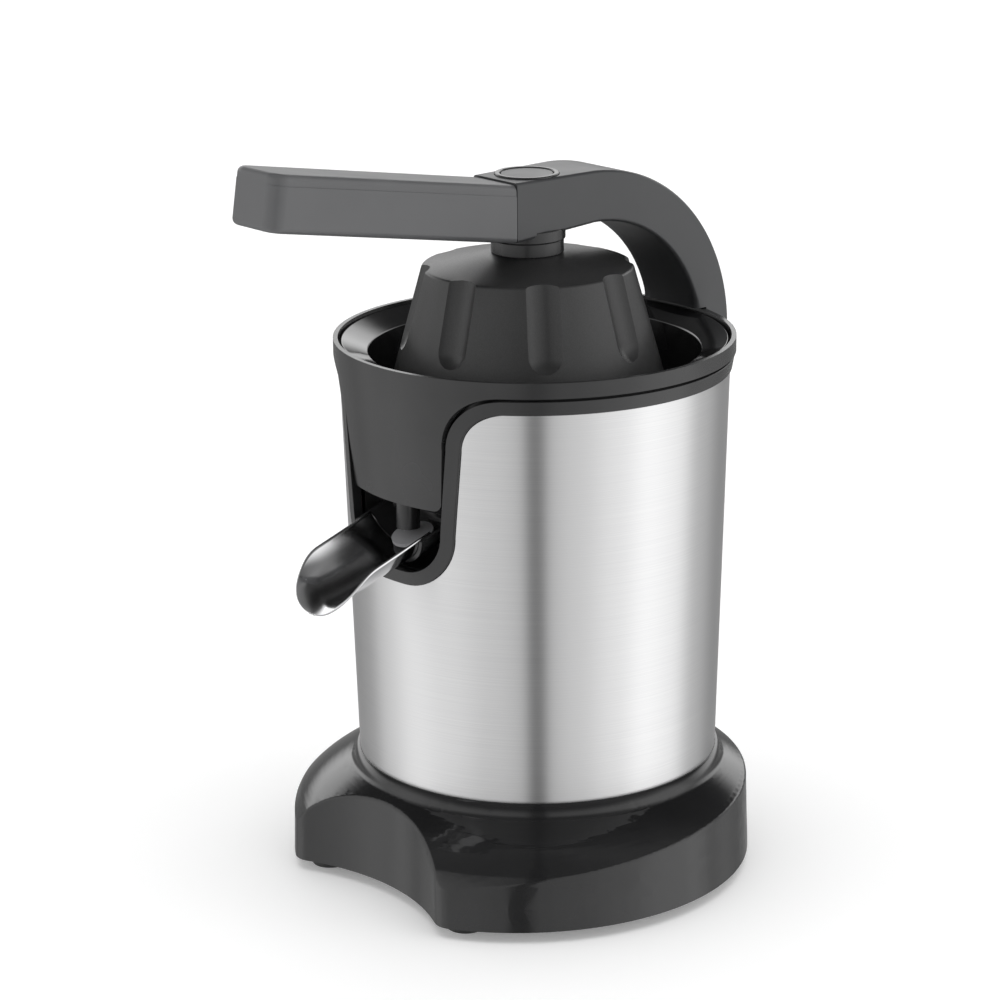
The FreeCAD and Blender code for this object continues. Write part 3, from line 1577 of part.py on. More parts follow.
def handle_taper(name, side, inset):
    return taper(
        name, side, s.arm_width / 2 - inset, seam_y + OVERRUN, s.handle_width / 2 - inset,
        tip_low_y - OVERRUN, arm_under - s.arm_depth, tip_z + OVERRUN,
    )


def handle_half(name, points, inset):
    bar = padded(f"{name}_bar", "YZ_Plane", points, s.hinge_width, symmetric=True)
    return cut(
        f"{name}_trimmed", bar,
        handle_taper(f"{name}_left", -1, inset), handle_taper(f"{name}_right", 1, inset),
    )


def is_end_corner(edge):
    spot = middle_of(edge)
    at_tip = spot.y < tip_y.value + OVERRUN and abs(spot.x) > s.handle_width.value / 3
    return at_tip and edge.BoundBox.ZLength > s.cover_depth.value / 2 and edge.BoundBox.XLength < OVERRUN


def near_line(edge, low_z, high_z, far_y):
    """Whether an edge runs along a sloped face of the handle, away from the seam."""
    spot = middle_of(edge)
    share = (seam_y.value - spot.y) / (seam_y.value - far_y)
    line_z = low_z + (high_z - low_z) * share
    return abs(spot.z - line_z) < 0.2 and spot.y < seam_y.value - OVERRUN


def is_bottom_edge(edge):
    return near_line(edge, seam_low.value, tip_low_z.value, tip_low_y.value)


def is_top_edge(edge):
    return near_line(edge, seam_top.value, tip_z.value, tip_y.value)


body_bar = handle_half("handle_body", [
    (seam_y, seam_low),
    (seam_y, seam_top - s.cover_depth),
    (tip_split_y, tip_z - s.cover_depth),
    (tip_low_y, tip_low_z),
], 0)
body_cornered = rounded("body_cornered", body_bar, s.handle_corner, is_end_corner)
body_soft = rounded("body_soft", body_cornered, s.handle_edge, is_bottom_edge)
tongue = box(
    "tongue", s.tongue_width, s.tongue_length + s.seam_gap + OVERRUN, s.tongue_height,
    y=seam_y - OVERRUN, z=tongue_low,
)
body_solid = fuse("body_solid", body_soft, tongue)
HANDLE_SCREWS = [s.handle_screw_near, s.handle_screw_far]


def handle_low_at(distance):
    """Height of the handle's underside at a distance before the seam."""
    return seam_low + (tip_low_z - seam_low) * distance / (s.handle_length + s.handle_lean)


screw_bite = s.cover_depth / 2
handle_screw_length = s.handle_depth - s.cover_depth - s.screw_recess + screw_bite
body_cuts = []
cover_cuts = []
handle_screws = []
for index, distance in enumerate(HANDLE_SCREWS):
    screw_y = seam_y - distance
    seat = handle_low_at(distance) + s.screw_recess
    recess_low = seat - s.screw_recess * 2
    body_cuts += [
        cylinder(
            f"screw_recess_{index}", s.screw_head + s.fit_gap, s.screw_recess * 2, 0, screw_y, recess_low,
        ),
        cylinder(f"screw_way_{index}", s.screw_radius + s.fit_gap, s.handle_depth, 0, screw_y, seat),
    ]
    cover_cuts.append(
        cylinder(
            f"cover_pilot_{index}", s.screw_radius + s.running_gap, handle_screw_length + s.fit_gap,
            0, screw_y, seat,
        )
    )
    handle_screws.append(screw(f"handle_screw_{index}", 0, screw_y, seat, handle_screw_length))
keep(cut("handle_body", body_solid, *body_cuts))
keep(group("handle_screws", handle_screws))
cover_bar = handle_half("handle_cover", [
    (seam_y, seam_top - s.cover_depth),
    (seam_y, seam_top),
    (tip_y, tip_z),
    (tip_split_y, tip_z - s.cover_depth),
], s.cover_inset)
cover_cornered = rounded("cover_cornered", cover_bar, s.handle_corner, is_end_corner)
cover_soft = rounded("cover_soft", cover_cornered, s.handle_edge, is_top_edge)
keep(cut("handle_cover", cover_soft, *cover_cuts))

# Release button in the top of the arm

ring_low = arm_top - s.ring_depth
keep(bush("button_ring", s.ring_inner, s.ring_radius, ring_low, arm_top + s.ring_rise, -s.press_reach))
button_top = arm_top + s.button_rise
button_low = button_top - s.button_height
keep(turned("release_button", [
    (0, button_low - s.rod_length),
    (s.button_rod, button_low - s.rod_length),
    (s.button_rod, button_low),
    (s.button_radius, button_low),
    (s.button_radius, button_top),
    (0, button_top),
], y=-s.press_reach))
keep(coil(
    "button_spring", s.button_spring_radius, s.button_spring_wire, s.button_spring_turns,
    button_floor + s.button_spring_wire + s.fit_gap, button_low - s.button_spring_wire - s.fit_gap,
    -s.press_reach,
))

# Stem under the arm and the fluted press dome on it

dome_top = rim_top + s.dome_rise
stem_top = dome_top + s.stem_height
plug_low = dome_top - s.dome_wall
keep(turned("press_stem", [
    (rod_bore, plug_low),
    (s.dome_plug, plug_low),
    (s.dome_plug, dome_top),
    (s.stem_radius, dome_top),
    (s.stem_radius, stem_top),
    (s.stem_plug, stem_top),
    (s.stem_plug, arm_under + s.stem_plug_height),
    (rod_bore, arm_under + s.stem_plug_height),
], y=-s.press_reach))
keep(bush(
    "stem_collar", s.stem_plug + s.fit_gap, s.stem_collar_radius, stem_top, arm_under, -s.press_reach,
))
crease_z = rim_top + s.crease_rise
dome_low = rim_top - s.dome_drop
slope_x = s.crease_radius - s.stem_radius
slope_z = dome_top - crease_z
slope_length = root_of(slope_x * slope_x + slope_z * slope_z)
side_x = s.dome_low_radius - s.crease_radius
side_z = crease_z - dome_low
side_length = root_of(side_x * side_x + side_z * side_z)
side_soft = s.crease_round * 0.6 / side_length
slope_soft = s.crease_round * 0.6 / slope_length
press_dome = new_body("press_dome")
add_turn(press_dome, [
    (s.dome_plug + s.running_gap, dome_top),
    (s.dome_plug + s.running_gap, plug_low),
    (s.crease_radius - s.dome_wall, crease_z - s.dome_wall),
    (s.dome_low_radius - s.dome_wall, dome_low),
    (s.dome_low_radius, dome_low),
    (s.crease_radius + side_x * side_soft, crease_z - side_z * side_soft),
    (s.crease_radius - slope_x * slope_soft, crease_z + slope_z * slope_soft, s.crease_round),
    (s.stem_radius, dome_top),
])


def beside_crease(along, out):
    """Point a distance down the dome's side from the crease and a distance out from it."""
    x = s.crease_radius + (side_x * along + side_z * out) / side_length
    z = crease_z + (side_x * out - side_z * along) / side_length
    return x, z


flute_axis = s.flute_radius - s.flute_depth
flute_low = (s.crease_rise - s.flute_end) * side_length / side_z
flute_high = -s.flute_radius
flute_sketch = new_sketch(press_dome, "XZ_Plane", [
    beside_crease(flute_high, flute_axis),
    beside_crease(flute_high, -s.flute_depth),
    beside_crease(flute_low, -s.flute_depth),
    beside_crease(flute_low + s.flute_radius, flute_axis) + (s.flute_radius,),
])
high_spot = beside_crease(flute_high, flute_axis)
low_spot = beside_crease(flute_low, flute_axis)
axis_line = flute_sketch.addGeometry(
    Part.LineSegment(
        FreeCAD.Vector(value_of(high_spot[0]), value_of(high_spot[1]), 0),
        FreeCAD.Vector(value_of(low_spot[0]), value_of(low_spot[1]), 0),
    ),
    True,
)
fix_point(flute_sketch, axis_line, 1, high_spot, "axisHigh")
fix_point(flute_sketch, axis_line, 2, low_spot, "axisLow")
flute = press_dome.newObject("PartDesign::Groove", "dome_flute")
flute.Profile = flute_sketch
flute.ReferenceAxis = (flute_sketch, ["Axis0"])
flute.Angle = 360
add_ring_pattern(press_dome, flute, s.flute_count)
press_dome.Placement = FreeCAD.Placement(FreeCAD.Vector(), FreeCAD.Rotation(FreeCAD.Vector(0, 0, 1), 1))
bind(press_dome, "Placement.Rotation.Angle", s.flute_turn)
bind(press_dome, "Placement.Base.y", s.axis_y - s.press_reach)
keep(press_dome)

# Spout: modelled level about its pivot, which is its lifted pose, and tilted down to rest

gutter_round = s.spout_half_width * s.spout_half_width / (2 * s.spout_depth) + s.spout_depth / 2
gutter_drop = gutter_round - s.spout_depth


def gutter_half(radius):
    """Half width at the rim of a gutter of this radius about the spout's centre line."""
    return root_of(radius * radius - gutter_drop * gutter_drop)


def gutter(inner, outer):
    return [
        (gutter_half(outer), s.spout_rim),
        (-gutter_half(outer), s.spout_rim, -outer),
        (-gutter_half(inner), s.spout_rim),
        (gutter_half(inner), s.spout_rim, inner),
    ]


def spout_body(name):
    return new_body(name, -s.pivot_y, pivot_z, s.spout_angle)


spout = spout_body("spout")
add_pad(spout, "XZ_Plane", gutter(gutter_round - s.spout_wall, gutter_round), s.spout_length, s.spout_start)
spout_tip = -s.spout_start - s.spout_length
tip_round = s.spout_half_width + s.spout_wall
tip_start = spout_tip + tip_round
add_pocket(spout, "XY_Plane", [
    (-FAR, tip_start),
    (-tip_round, tip_start),
    (0, spout_tip, tip_round),
    (tip_round, tip_start, tip_round),
    (FAR, tip_start),
    (FAR, spout_tip * 2),
    (-FAR, spout_tip * 2),
], FAR, symmetric=True)
lip_middle = spout_tip + s.lip_run / 2
lip_bend = s.lip_run * s.lip_run / (4 * s.lip_drop) + s.lip_drop / 4
add_pocket(spout, "YZ_Plane", [
    (spout_tip + s.lip_run, FAR),
    (spout_tip + s.lip_run, s.spout_rim),
    (lip_middle, s.spout_rim - s.lip_drop / 2, -lip_bend),
    (spout_tip, s.spout_rim - s.lip_drop, lip_bend),
    (spout_tip * 2, s.spout_rim - s.lip_drop),
    (spout_tip * 2, FAR),
], FAR, symmetric=True)
keep(spout)
holder_inner = gutter_round + s.fit_gap
holder_outer = holder_inner + s.holder_wall
holder_blank = spout_body("holder_blank")
holder_length = s.holder_back + s.holder_end
add_pad(holder_blank, "XZ_Plane", gutter(holder_inner, holder_outer), holder_length, -s.holder_back)
add_pad(holder_blank, "XZ_Plane", [
    (gutter_half(holder_outer), s.spout_rim),
    (-gutter_half(holder_outer), s.spout_rim, -holder_outer),
], s.holder_wall, -s.holder_back)
holder_bore = cylinder("holder_bore", s.spout_pin_radius, FAR, -FAR / 2, -s.pivot_y, pivot_z, along="x")
keep(cut("spout_holder", holder_blank, holder_bore))
pin_reach = u_half(pivot_z, s.trim_width) + s.well_wall * 2 / 3
keep(group("spout_pins", [
    cylinder(
        "spout_pin_right", s.spout_pin_radius, pin_reach - s.spout_pin_inner,
        s.spout_pin_inner, -s.pivot_y, pivot_z, along="x",
    ),
    cylinder(
        "spout_pin_left", s.spout_pin_radius, pin_reach - s.spout_pin_inner,
        -pin_reach, -s.pivot_y, pivot_z, along="x",
    ),
]))


stopper = spout_body("stopper_pad")
pad_y = s.pivot_y - s.nozzle_y
pad_top = nozzle_low - pivot_z - s.pad_gap
pad_low = pad_top - s.pad_thickness
stalk_low = s.spout_rim - s.spout_depth - s.fit_gap / 2
add_pad(stopper, "XY_Plane", disc(pad_y, s.pad_radius), s.pad_thickness, pad_low)
add_pad(stopper, "XY_Plane", disc(pad_y, s.pad_stalk), pad_low - stalk_low + OVERRUN / 2, stalk_low)
keep(stopper)

# Check every object and every piece before writing any file

doc.recompute()
failed = [item.Name for item in doc.Objects if "Invalid" in item.State or "Error" in item.State]
if failed:
    raise RuntimeError(f"failed objects: {failed}")
for piece in PIECES:
    if piece.Shape.isNull() or not piece.Shape.isValid() or not piece.Shape.Solids:
        raise RuntimeError(f"bad shape: {piece.Label}")
os.makedirs("parts", exist_ok=True)
for piece in PIECES:
    piece.Shape.exportStep(f"parts/{piece.Label}.step")
print(f"{len(PIECES)} pieces written")
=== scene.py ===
import json
import math

import bmesh
import bpy
from mathutils import Matrix, Vector

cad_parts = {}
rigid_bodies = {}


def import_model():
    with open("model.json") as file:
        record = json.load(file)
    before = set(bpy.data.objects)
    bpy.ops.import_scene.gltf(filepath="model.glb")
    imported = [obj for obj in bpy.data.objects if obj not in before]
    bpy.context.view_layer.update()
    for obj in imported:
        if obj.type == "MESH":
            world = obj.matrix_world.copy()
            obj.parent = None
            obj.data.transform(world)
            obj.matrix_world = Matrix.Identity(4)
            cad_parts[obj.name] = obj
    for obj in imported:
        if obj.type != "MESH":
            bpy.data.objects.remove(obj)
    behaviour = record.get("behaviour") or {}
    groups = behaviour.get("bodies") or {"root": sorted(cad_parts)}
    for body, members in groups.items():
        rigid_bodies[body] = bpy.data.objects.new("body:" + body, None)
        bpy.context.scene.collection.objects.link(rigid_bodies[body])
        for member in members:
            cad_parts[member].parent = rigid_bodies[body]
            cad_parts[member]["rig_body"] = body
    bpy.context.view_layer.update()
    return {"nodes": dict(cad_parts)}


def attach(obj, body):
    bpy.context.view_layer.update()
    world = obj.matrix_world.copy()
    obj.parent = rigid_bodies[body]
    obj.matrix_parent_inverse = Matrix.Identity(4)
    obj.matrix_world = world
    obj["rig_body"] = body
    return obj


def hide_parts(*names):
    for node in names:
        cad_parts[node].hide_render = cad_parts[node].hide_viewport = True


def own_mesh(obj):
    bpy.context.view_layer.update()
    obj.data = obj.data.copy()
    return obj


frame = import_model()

# Base shell: one thick moulding in piano-black plastic, with a scallop in front for the glass.
# It is held to the plate under it by four screws, and its gloss shows the soft lights as streaks.


def new_material(name):
    """A material, its node tree and its shader."""
    material = bpy.data.materials.new(name)
    material.use_nodes = True
    return material, material.node_tree, material.node_tree.nodes["Principled BSDF"]


def add_node(tree, kind, **inputs):
    """A node with some of its inputs set."""
    node = tree.nodes.new(kind)
    for name, value in inputs.items():
        node.inputs[name].default_value = value
    return node


def object_space(tree):
    """Object coordinates, in metres."""
    return add_node(tree, "ShaderNodeTexCoord").outputs["Object"]


def noise(tree, space, scale, detail):
    """A cloudy texture, with its count per unit of the given space."""
    texture = add_node(tree, "ShaderNodeTexNoise", Scale=scale, Detail=detail)
    tree.links.new(space, texture.inputs["Vector"])
    return texture.outputs["Fac"]


def map_range(tree, value, ends, low, high):
    """Node that maps a value between two ends onto low to high."""
    node = add_node(tree, "ShaderNodeMapRange")
    bounds = (("From Min", ends[0]), ("From Max", ends[1]), ("To Min", low), ("To Max", high))
    for name, number in bounds:
        node.inputs[name].default_value = number
    tree.links.new(value, node.inputs["Value"])
    return node


CLOUD_MIDDLE = (0.3, 0.7)


def spread(tree, value, low, high):
    """The middle of a texture's range, mapped onto low to high."""
    return map_range(tree, value, CLOUD_MIDDLE, low, high).outputs["Result"]


def tint(tree, value, dark, light):
    """A colour between a dark and a light one, by a texture."""
    ramp = add_node(tree, "ShaderNodeValToRGB")
    for element, position, colour in zip(ramp.color_ramp.elements, CLOUD_MIDDLE, (dark, light)):
        element.position = position
        element.color = (*colour, 1)
    tree.links.new(value, ramp.inputs["Fac"])
    return ramp.outputs["Color"]


def add_bump(tree, shader, height, strength, distance):
    """Fine relief on a finish, by a texture."""
    bump = add_node(tree, "ShaderNodeBump", Strength=strength, Distance=distance)
    tree.links.new(height, bump.inputs["Height"])
    tree.links.new(bump.outputs["Normal"], shader.inputs["Normal"])


CLOUD_COUNT = 35
GRAIN_HEIGHT = 0.0003


def moulded(name, dark, light, rough, grain, relief):
    """Moulded plastic: cloudy colour, uneven gloss, and a grain with its count per metre and strength."""
    material, tree, shader = new_material(name)
    cloud = noise(tree, object_space(tree), scale=CLOUD_COUNT, detail=2)
    fine = noise(tree, object_space(tree), scale=grain, detail=3)
    tree.links.new(tint(tree, cloud, dark, light), shader.inputs["Base Color"])
    tree.links.new(spread(tree, cloud, rough[0], rough[1]), shader.inputs["Roughness"])
    add_bump(tree, shader, fine, strength=relief, distance=GRAIN_HEIGHT)
    return material


nodes = frame["nodes"]


def stand_for(piece, node):
    """Put a piece into the scene in place of a solid, on the same body."""
    bpy.context.scene.collection.objects.link(piece)
    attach(piece, nodes[node]["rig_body"])
    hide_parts(node)


WELD_GAP = 2e-6
EDGE_CREASE = math.radians(35)


def skin(node, material, edge=0.0):
    """A welded copy of a solid, with its edges softened where asked, which stands for it."""
    source = nodes[node].data
    mesh = bpy.data.meshes.new(f"{node}_skin")
    corners = [tuple(vertex.co) for vertex in source.vertices]
    triangles = [tuple(polygon.vertices) for polygon in source.polygons]
    mesh.from_pydata(corners, [], triangles)
    build = bmesh.new()
    build.from_mesh(mesh)
    bmesh.ops.remove_doubles(build, verts=build.verts, dist=WELD_GAP)
    bmesh.ops.dissolve_degenerate(build, edges=build.edges, dist=WELD_GAP)
    for face in build.faces:
        face.smooth = True
    for line in build.edges:
        if line.is_manifold and line.calc_face_angle() > EDGE_CREASE:
            line.smooth = False
    build.to_mesh(mesh)
    build.free()
    mesh.materials.append(material)
    piece = bpy.data.objects.new(f"{node}_skin", mesh)
    if edge:
        bevel = piece.modifiers.new("soft_edge", "BEVEL")
        bevel.width = edge
        bevel.segments = 2
        bevel.limit_method = "ANGLE"
        bevel.angle_limit = EDGE_CREASE
        bevel.use_clamp_overlap = True
        level = piece.modifiers.new("level_normals", "WEIGHTED_NORMAL")
        level.keep_sharp = True
    stand_for(piece, node)
    return piece


SLICE_GAP = 1e-6


def slice_level(build, across, start, step, count):
    """Cut a mesh by a row of planes across a direction, so that it can be bent there."""
    for number in range(count):
        whole = build.verts[:] + build.edges[:] + build.faces[:]
        spot = across * (start + number * step)
        bmesh.ops.bisect_plane(build, geom=whole, dist=SLICE_GAP, plane_co=spot, plane_no=across)


def soft_step(share):
    """Share from nought to one, eased at both ends."""
    return share * share * (3 - 2 * share)


# The axis of the sleeve, bowl and reamer stands a little behind the middle of the whole.
AXIS = Vector((0, 0.0237, 0))
UPWARD = Vector((0, 0, 1))
NECK_LIP = 0.0789
NECK_DEEPEST = 0.0802
NECK_OUTER = 0.104
NECK_DEPTH = 0.0052
NECK_SLICES = 76
SLICE_START = 0.0125
SLICE_STEP = 0.0005
WALL_STILL = 0.008
WALL_FREE = 0.026
SHELL_CREASE = math.radians(55)


def hollow_neck(piece):
    """Draw the shoulder in under the lip round the sleeve, where the moulding has a narrow hollow neck."""
    build = bmesh.new()
    build.from_mesh(piece.data)
    slice_level(build, UPWARD, SLICE_START, SLICE_STEP, NECK_SLICES)
    for corner in build.verts:
        radius = (corner.co - AXIS).to_2d().length
        if NECK_LIP < radius < NECK_OUTER and corner.co.z > WALL_STILL:
            inward = min(1, (radius - NECK_LIP) / (NECK_DEEPEST - NECK_LIP))
            outward = 1 - max(0, (radius - NECK_DEEPEST) / (NECK_OUTER - NECK_DEEPEST)) ** 2
            share = min(1, (corner.co.z - WALL_STILL) / (WALL_FREE - WALL_STILL))
            corner.co.z -= NECK_DEPTH * inward * outward * soft_step(share)
    for line in build.edges:
        line.smooth = not line.is_manifold or line.calc_face_angle() < SHELL_CREASE
    build.to_mesh(piece.data)
    build.free()


piano_black = moulded(
    "piano_black", (0.011, 0.011, 0.0115), (0.015, 0.015, 0.0155), rough=(0.06, 0.10), grain=120, relief=0.02
)
hollow_neck(skin("base_shell", piano_black))

# Underside: a flat plate with rubber feet, and the gland where the mains lead would come in.
# The plate is plain black plastic; each foot has a stem through it and a head that holds it there.


def paint(material, *names):
    """Give carried-over solids a finish."""
    for name in names:
        nodes[name].data.materials.clear()
        nodes[name].data.materials.append(material)


plain_black = moulded(
    "plain_black", (0.012, 0.012, 0.012), (0.02, 0.02, 0.02), rough=(0.4, 0.5), grain=1500, relief=0.1
)
soft_rubber = moulded(
    "soft_rubber", (0.010, 0.010, 0.010), (0.016, 0.016, 0.016), rough=(0.6, 0.75), grain=900, relief=0.2
)
paint(plain_black, "base_plate", "cord_gland")
paint(soft_rubber, "rubber_feet")


def metal(name, dark, light, rough, scale=250, detail=3):
    """Bare metal with a worn, slightly cloudy face."""
    material, tree, shader = new_material(name)
    shader.inputs["Metallic"].default_value = 1.0
    cloud = noise(tree, object_space(tree), scale=scale, detail=detail)
    tree.links.new(tint(tree, cloud, dark, light), shader.inputs["Base Color"])
    tree.links.new(spread(tree, cloud, rough[0], rough[1]), shader.inputs["Roughness"])
    return material


plated = metal("plated_steel", (0.45, 0.45, 0.46), (0.6, 0.6, 0.61), rough=(0.25, 0.4), scale=300, detail=2)

HEAD_SIDES = 40
SHANK_SIDES = 24
RECESS_SHARE = 1.2


def screw_group():
    """Node group that sets a cross-recess screw on every point, its shank along a given turn."""
    group = bpy.data.node_groups.new("cross_screws", "GeometryNodeTree")
    make = group.interface.new_socket
    make(name="Geometry", in_out="OUTPUT", socket_type="NodeSocketGeometry")
    make(name="Seats", in_out="INPUT", socket_type="NodeSocketGeometry")
    for name in ("Head Radius", "Head Depth", "Shank Radius", "Shank Length", "Recess Width"):
        make(name=name, in_out="INPUT", socket_type="NodeSocketFloat")
    make(name="Turn", in_out="INPUT", socket_type="NodeSocketRotation")
    make(name="Material", in_out="INPUT", socket_type="NodeSocketMaterial")
    given = group.nodes.new("NodeGroupInput").outputs
    link = group.links.new

    def number(operation, first, second):
        node = group.nodes.new("ShaderNodeMath")
        node.operation = operation
        for socket, value in zip(node.inputs, (first, second)):
            if isinstance(value, float):
                socket.default_value = value
            else:
                link(value, socket)
        return node.outputs[0]

    def lifted(geometry, height):
        along = group.nodes.new("ShaderNodeCombineXYZ")
        link(height, along.inputs["Z"])
        move = group.nodes.new("GeometryNodeTransform")
        link(geometry, move.inputs["Geometry"])
        link(along.outputs[0], move.inputs["Translation"])
        return move.outputs[0]

    def rod(radius, depth, sides):
        node = group.nodes.new("GeometryNodeMeshCylinder")
        node.inputs["Vertices"].default_value = sides
        link(radius, node.inputs["Radius"])
        link(depth, node.inputs["Depth"])
        return node.outputs["Mesh"]

    def bar(wide, deep):
        size = group.nodes.new("ShaderNodeCombineXYZ")
        link(wide, size.inputs["X"])
        link(deep, size.inputs["Y"])
        link(given["Head Depth"], size.inputs["Z"])
        node = group.nodes.new("GeometryNodeMeshCube")
        link(size.outputs[0], node.inputs["Size"])
        return lifted(node.outputs["Mesh"], number("MULTIPLY", given["Head Depth"], -1.0))

    head_rod = rod(given["Head Radius"], given["Head Depth"], HEAD_SIDES)
    head = lifted(head_rod, number("MULTIPLY", given["Head Depth"], -0.5))
    recess_length = number("MULTIPLY", given["Head Radius"], RECESS_SHARE)
    recessed = group.nodes.new("GeometryNodeMeshBoolean")
    recessed.operation = "DIFFERENCE"
    link(head, recessed.inputs["Mesh 1"])
    link(bar(recess_length, given["Recess Width"]), recessed.inputs["Mesh 2"])
    link(bar(given["Recess Width"], recess_length), recessed.inputs["Mesh 2"])
    shank_rod = rod(given["Shank Radius"], given["Shank Length"], SHANK_SIDES)
    shank = lifted(shank_rod, number("MULTIPLY", given["Shank Length"], 0.5))
    whole = group.nodes.new("GeometryNodeJoinGeometry")
    link(recessed.outputs["Mesh"], whole.inputs[0])
    link(shank, whole.inputs[0])
    points = group.nodes.new("GeometryNodeMeshToPoints")
    link(given["Seats"], points.inputs["Mesh"])
    spread_out = group.nodes.new("GeometryNodeInstanceOnPoints")
    link(points.outputs["Points"], spread_out.inputs["Points"])
    link(whole.outputs[0], spread_out.inputs["Instance"])
    link(given["Turn"], spread_out.inputs["Rotation"])
    real = group.nodes.new("GeometryNodeRealizeInstances")
    link(spread_out.outputs[0], real.inputs[0])
    coat = group.nodes.new("GeometryNodeSetMaterial")
    link(real.outputs[0], coat.inputs["Geometry"])
    link(given["Material"], coat.inputs["Material"])
    done = group.nodes.new("NodeGroupOutput")
    link(coat.outputs[0], done.inputs["Geometry"])
    return group


cross_screws = screw_group()


def fit_screws(node, seats, shank, turn=(0, 0, 0)):
    """Cross-recess screws at their seats, in metres, which stand for a node's plain ones."""
    points = bpy.data.meshes.new(f"{node}_seats")
    points.from_pydata(seats, [], [])
    holder = bpy.data.objects.new(f"{node}_seats", points)
    bpy.context.scene.collection.objects.link(holder)
    setting = holder.modifiers.new("screws", "NODES")
    setting.node_group = cross_screws
    sizes = {
        "Head Radius": 0.0032, "Head Depth": 0.0018, "Shank Radius": 0.0015, "Shank Length": shank,
        "Recess Width": 0.0009, "Turn": turn, "Material": plated,
    }
    for item in cross_screws.interface.items_tree:
        if item.in_out == "INPUT" and item.name in sizes:
            setting[item.identifier] = sizes[item.name]
    depsgraph = bpy.context.evaluated_depsgraph_get()
    mesh = bpy.data.meshes.new_from_object(holder.evaluated_get(depsgraph), depsgraph=depsgraph)
    holder.modifiers.remove(setting)
    bpy.data.objects.remove(holder)
    stand_for(bpy.data.objects.new(f"{node}_cross", mesh), node)


SIDES = (-1, 1)
PLATE_HEIGHT = 0.0055
PLATE_SPOTS = ((0.062, -0.0343), (0.060, 0.0687))
PLATE_SEATS = [(side * x, y, PLATE_HEIGHT) for x, y in PLATE_SPOTS for side in SIDES]
PLATE_SHANK = 0.015
fit_screws("base_screws", PLATE_SEATS, PLATE_SHANK)

# Steel sleeve: stainless sheet rolled to a slight cone, with the opening for the spout cut out.
# It is brushed round and round, so lights run down it as upright bands.

SLEEVE_RADIUS = 0.08
BRUSH_LINES = (12, 4200, 1)

sleeve_steel, tree, shader = new_material("sleeve_steel")
shader.inputs["Metallic"].default_value = 1.0
shader.inputs["Anisotropic"].default_value = 0.9
shader.inputs["Anisotropic Rotation"].default_value = 0.25
around = add_node(tree, "ShaderNodeUVMap")
around.uv_map = "around"
grain = add_node(tree, "ShaderNodeMapping", Scale=BRUSH_LINES)
tree.links.new(around.outputs["UV"], grain.inputs["Vector"])
long_lines = noise(tree, grain.outputs["Vector"], scale=1, detail=3)
steel_grey = tint(tree, long_lines, (0.60, 0.60, 0.605), (0.67, 0.67, 0.67))
tree.links.new(steel_grey, shader.inputs["Base Color"])
tree.links.new(spread(tree, long_lines, 0.28, 0.34), shader.inputs["Roughness"])
along = add_node(tree, "ShaderNodeTangent")
along.direction_type = "UV_MAP"
along.uv_map = "around"
tree.links.new(along.outputs["Tangent"], shader.inputs["Tangent"])
add_bump(tree, shader, long_lines, strength=0.04, distance=0.0001)


def wrap(piece):
    """UV map with metres round the axis and metres up."""
    layer = piece.data.uv_layers.new(name="around")
    for polygon in piece.data.polygons:
        centre = polygon.center - AXIS
        middle = math.atan2(centre.x, -centre.y)
        for loop in polygon.loop_indices:
            spot = piece.data.vertices[piece.data.loops[loop].vertex_index].co - AXIS
            turn = math.atan2(spot.x, -spot.y)
            if turn - middle > math.pi:
                turn -= 2 * math.pi
            if middle - turn > math.pi:
                turn += 2 * math.pi
            layer.data[loop].uv = (turn * SLEEVE_RADIUS, spot.z)


wrap(skin("steel_sleeve", sleeve_steel))

# Collar and bowl: the band on the steel with its ribbon round the opening, and the bowl with its apron.
# Both are black plastic with a softer gloss than the base, and the strainer drops into the bowl by hand.
# A plain tub stands inside the sleeve, and the pocket behind the opening holds the spout's pins.

soft_black = moulded(
    "soft_black", (0.016, 0.016, 0.0165), (0.022, 0.022, 0.0225), rough=(0.22, 0.28), grain=200, relief=0.02
)
COLLAR_EDGE = 0.0005
BOWL_EDGE = 0.0006
SMALL_EDGE = 0.0004
skin("housing_collar", soft_black, COLLAR_EDGE)
skin("juice_bowl", soft_black, BOWL_EDGE)
skin("strainer", piano_black, SMALL_EDGE)
paint(plain_black, "inner_housing", "spout_well")

# Spout: a polished steel gutter in a black plastic holder that tilts on two pins.
# A grey stopper on a black stalk closes the bowl's nozzle when the spout is lifted.

bright_steel = metal("bright_steel", (0.60, 0.60, 0.61), (0.68, 0.68, 0.685), rough=(0.12, 0.17), scale=60)
SPOUT_PIVOT = Vector((0, -0.0373, 0.166))
SPOUT_TILT = Matrix.Rotation(math.radians(18.5), 3, "X")
SHEET_THICKNESS = 0.0008
GUTTER_RADIUS = 0.0215
GUTTER_CENTRE = 0.0114
GUTTER_HALF = 0.0198
GUTTER_TIP = -0.0669
GUTTER_LENGTH = 0.0538
TIP_RUN = 0.024
TIP_FULLNESS = 2.6
LIP_LIFT = 0.0026
LIP_FLARE = 0.0028
LIP_START = 0.66
LIP_RUN = 0.7
ROWS = 72
ACROSS = 40


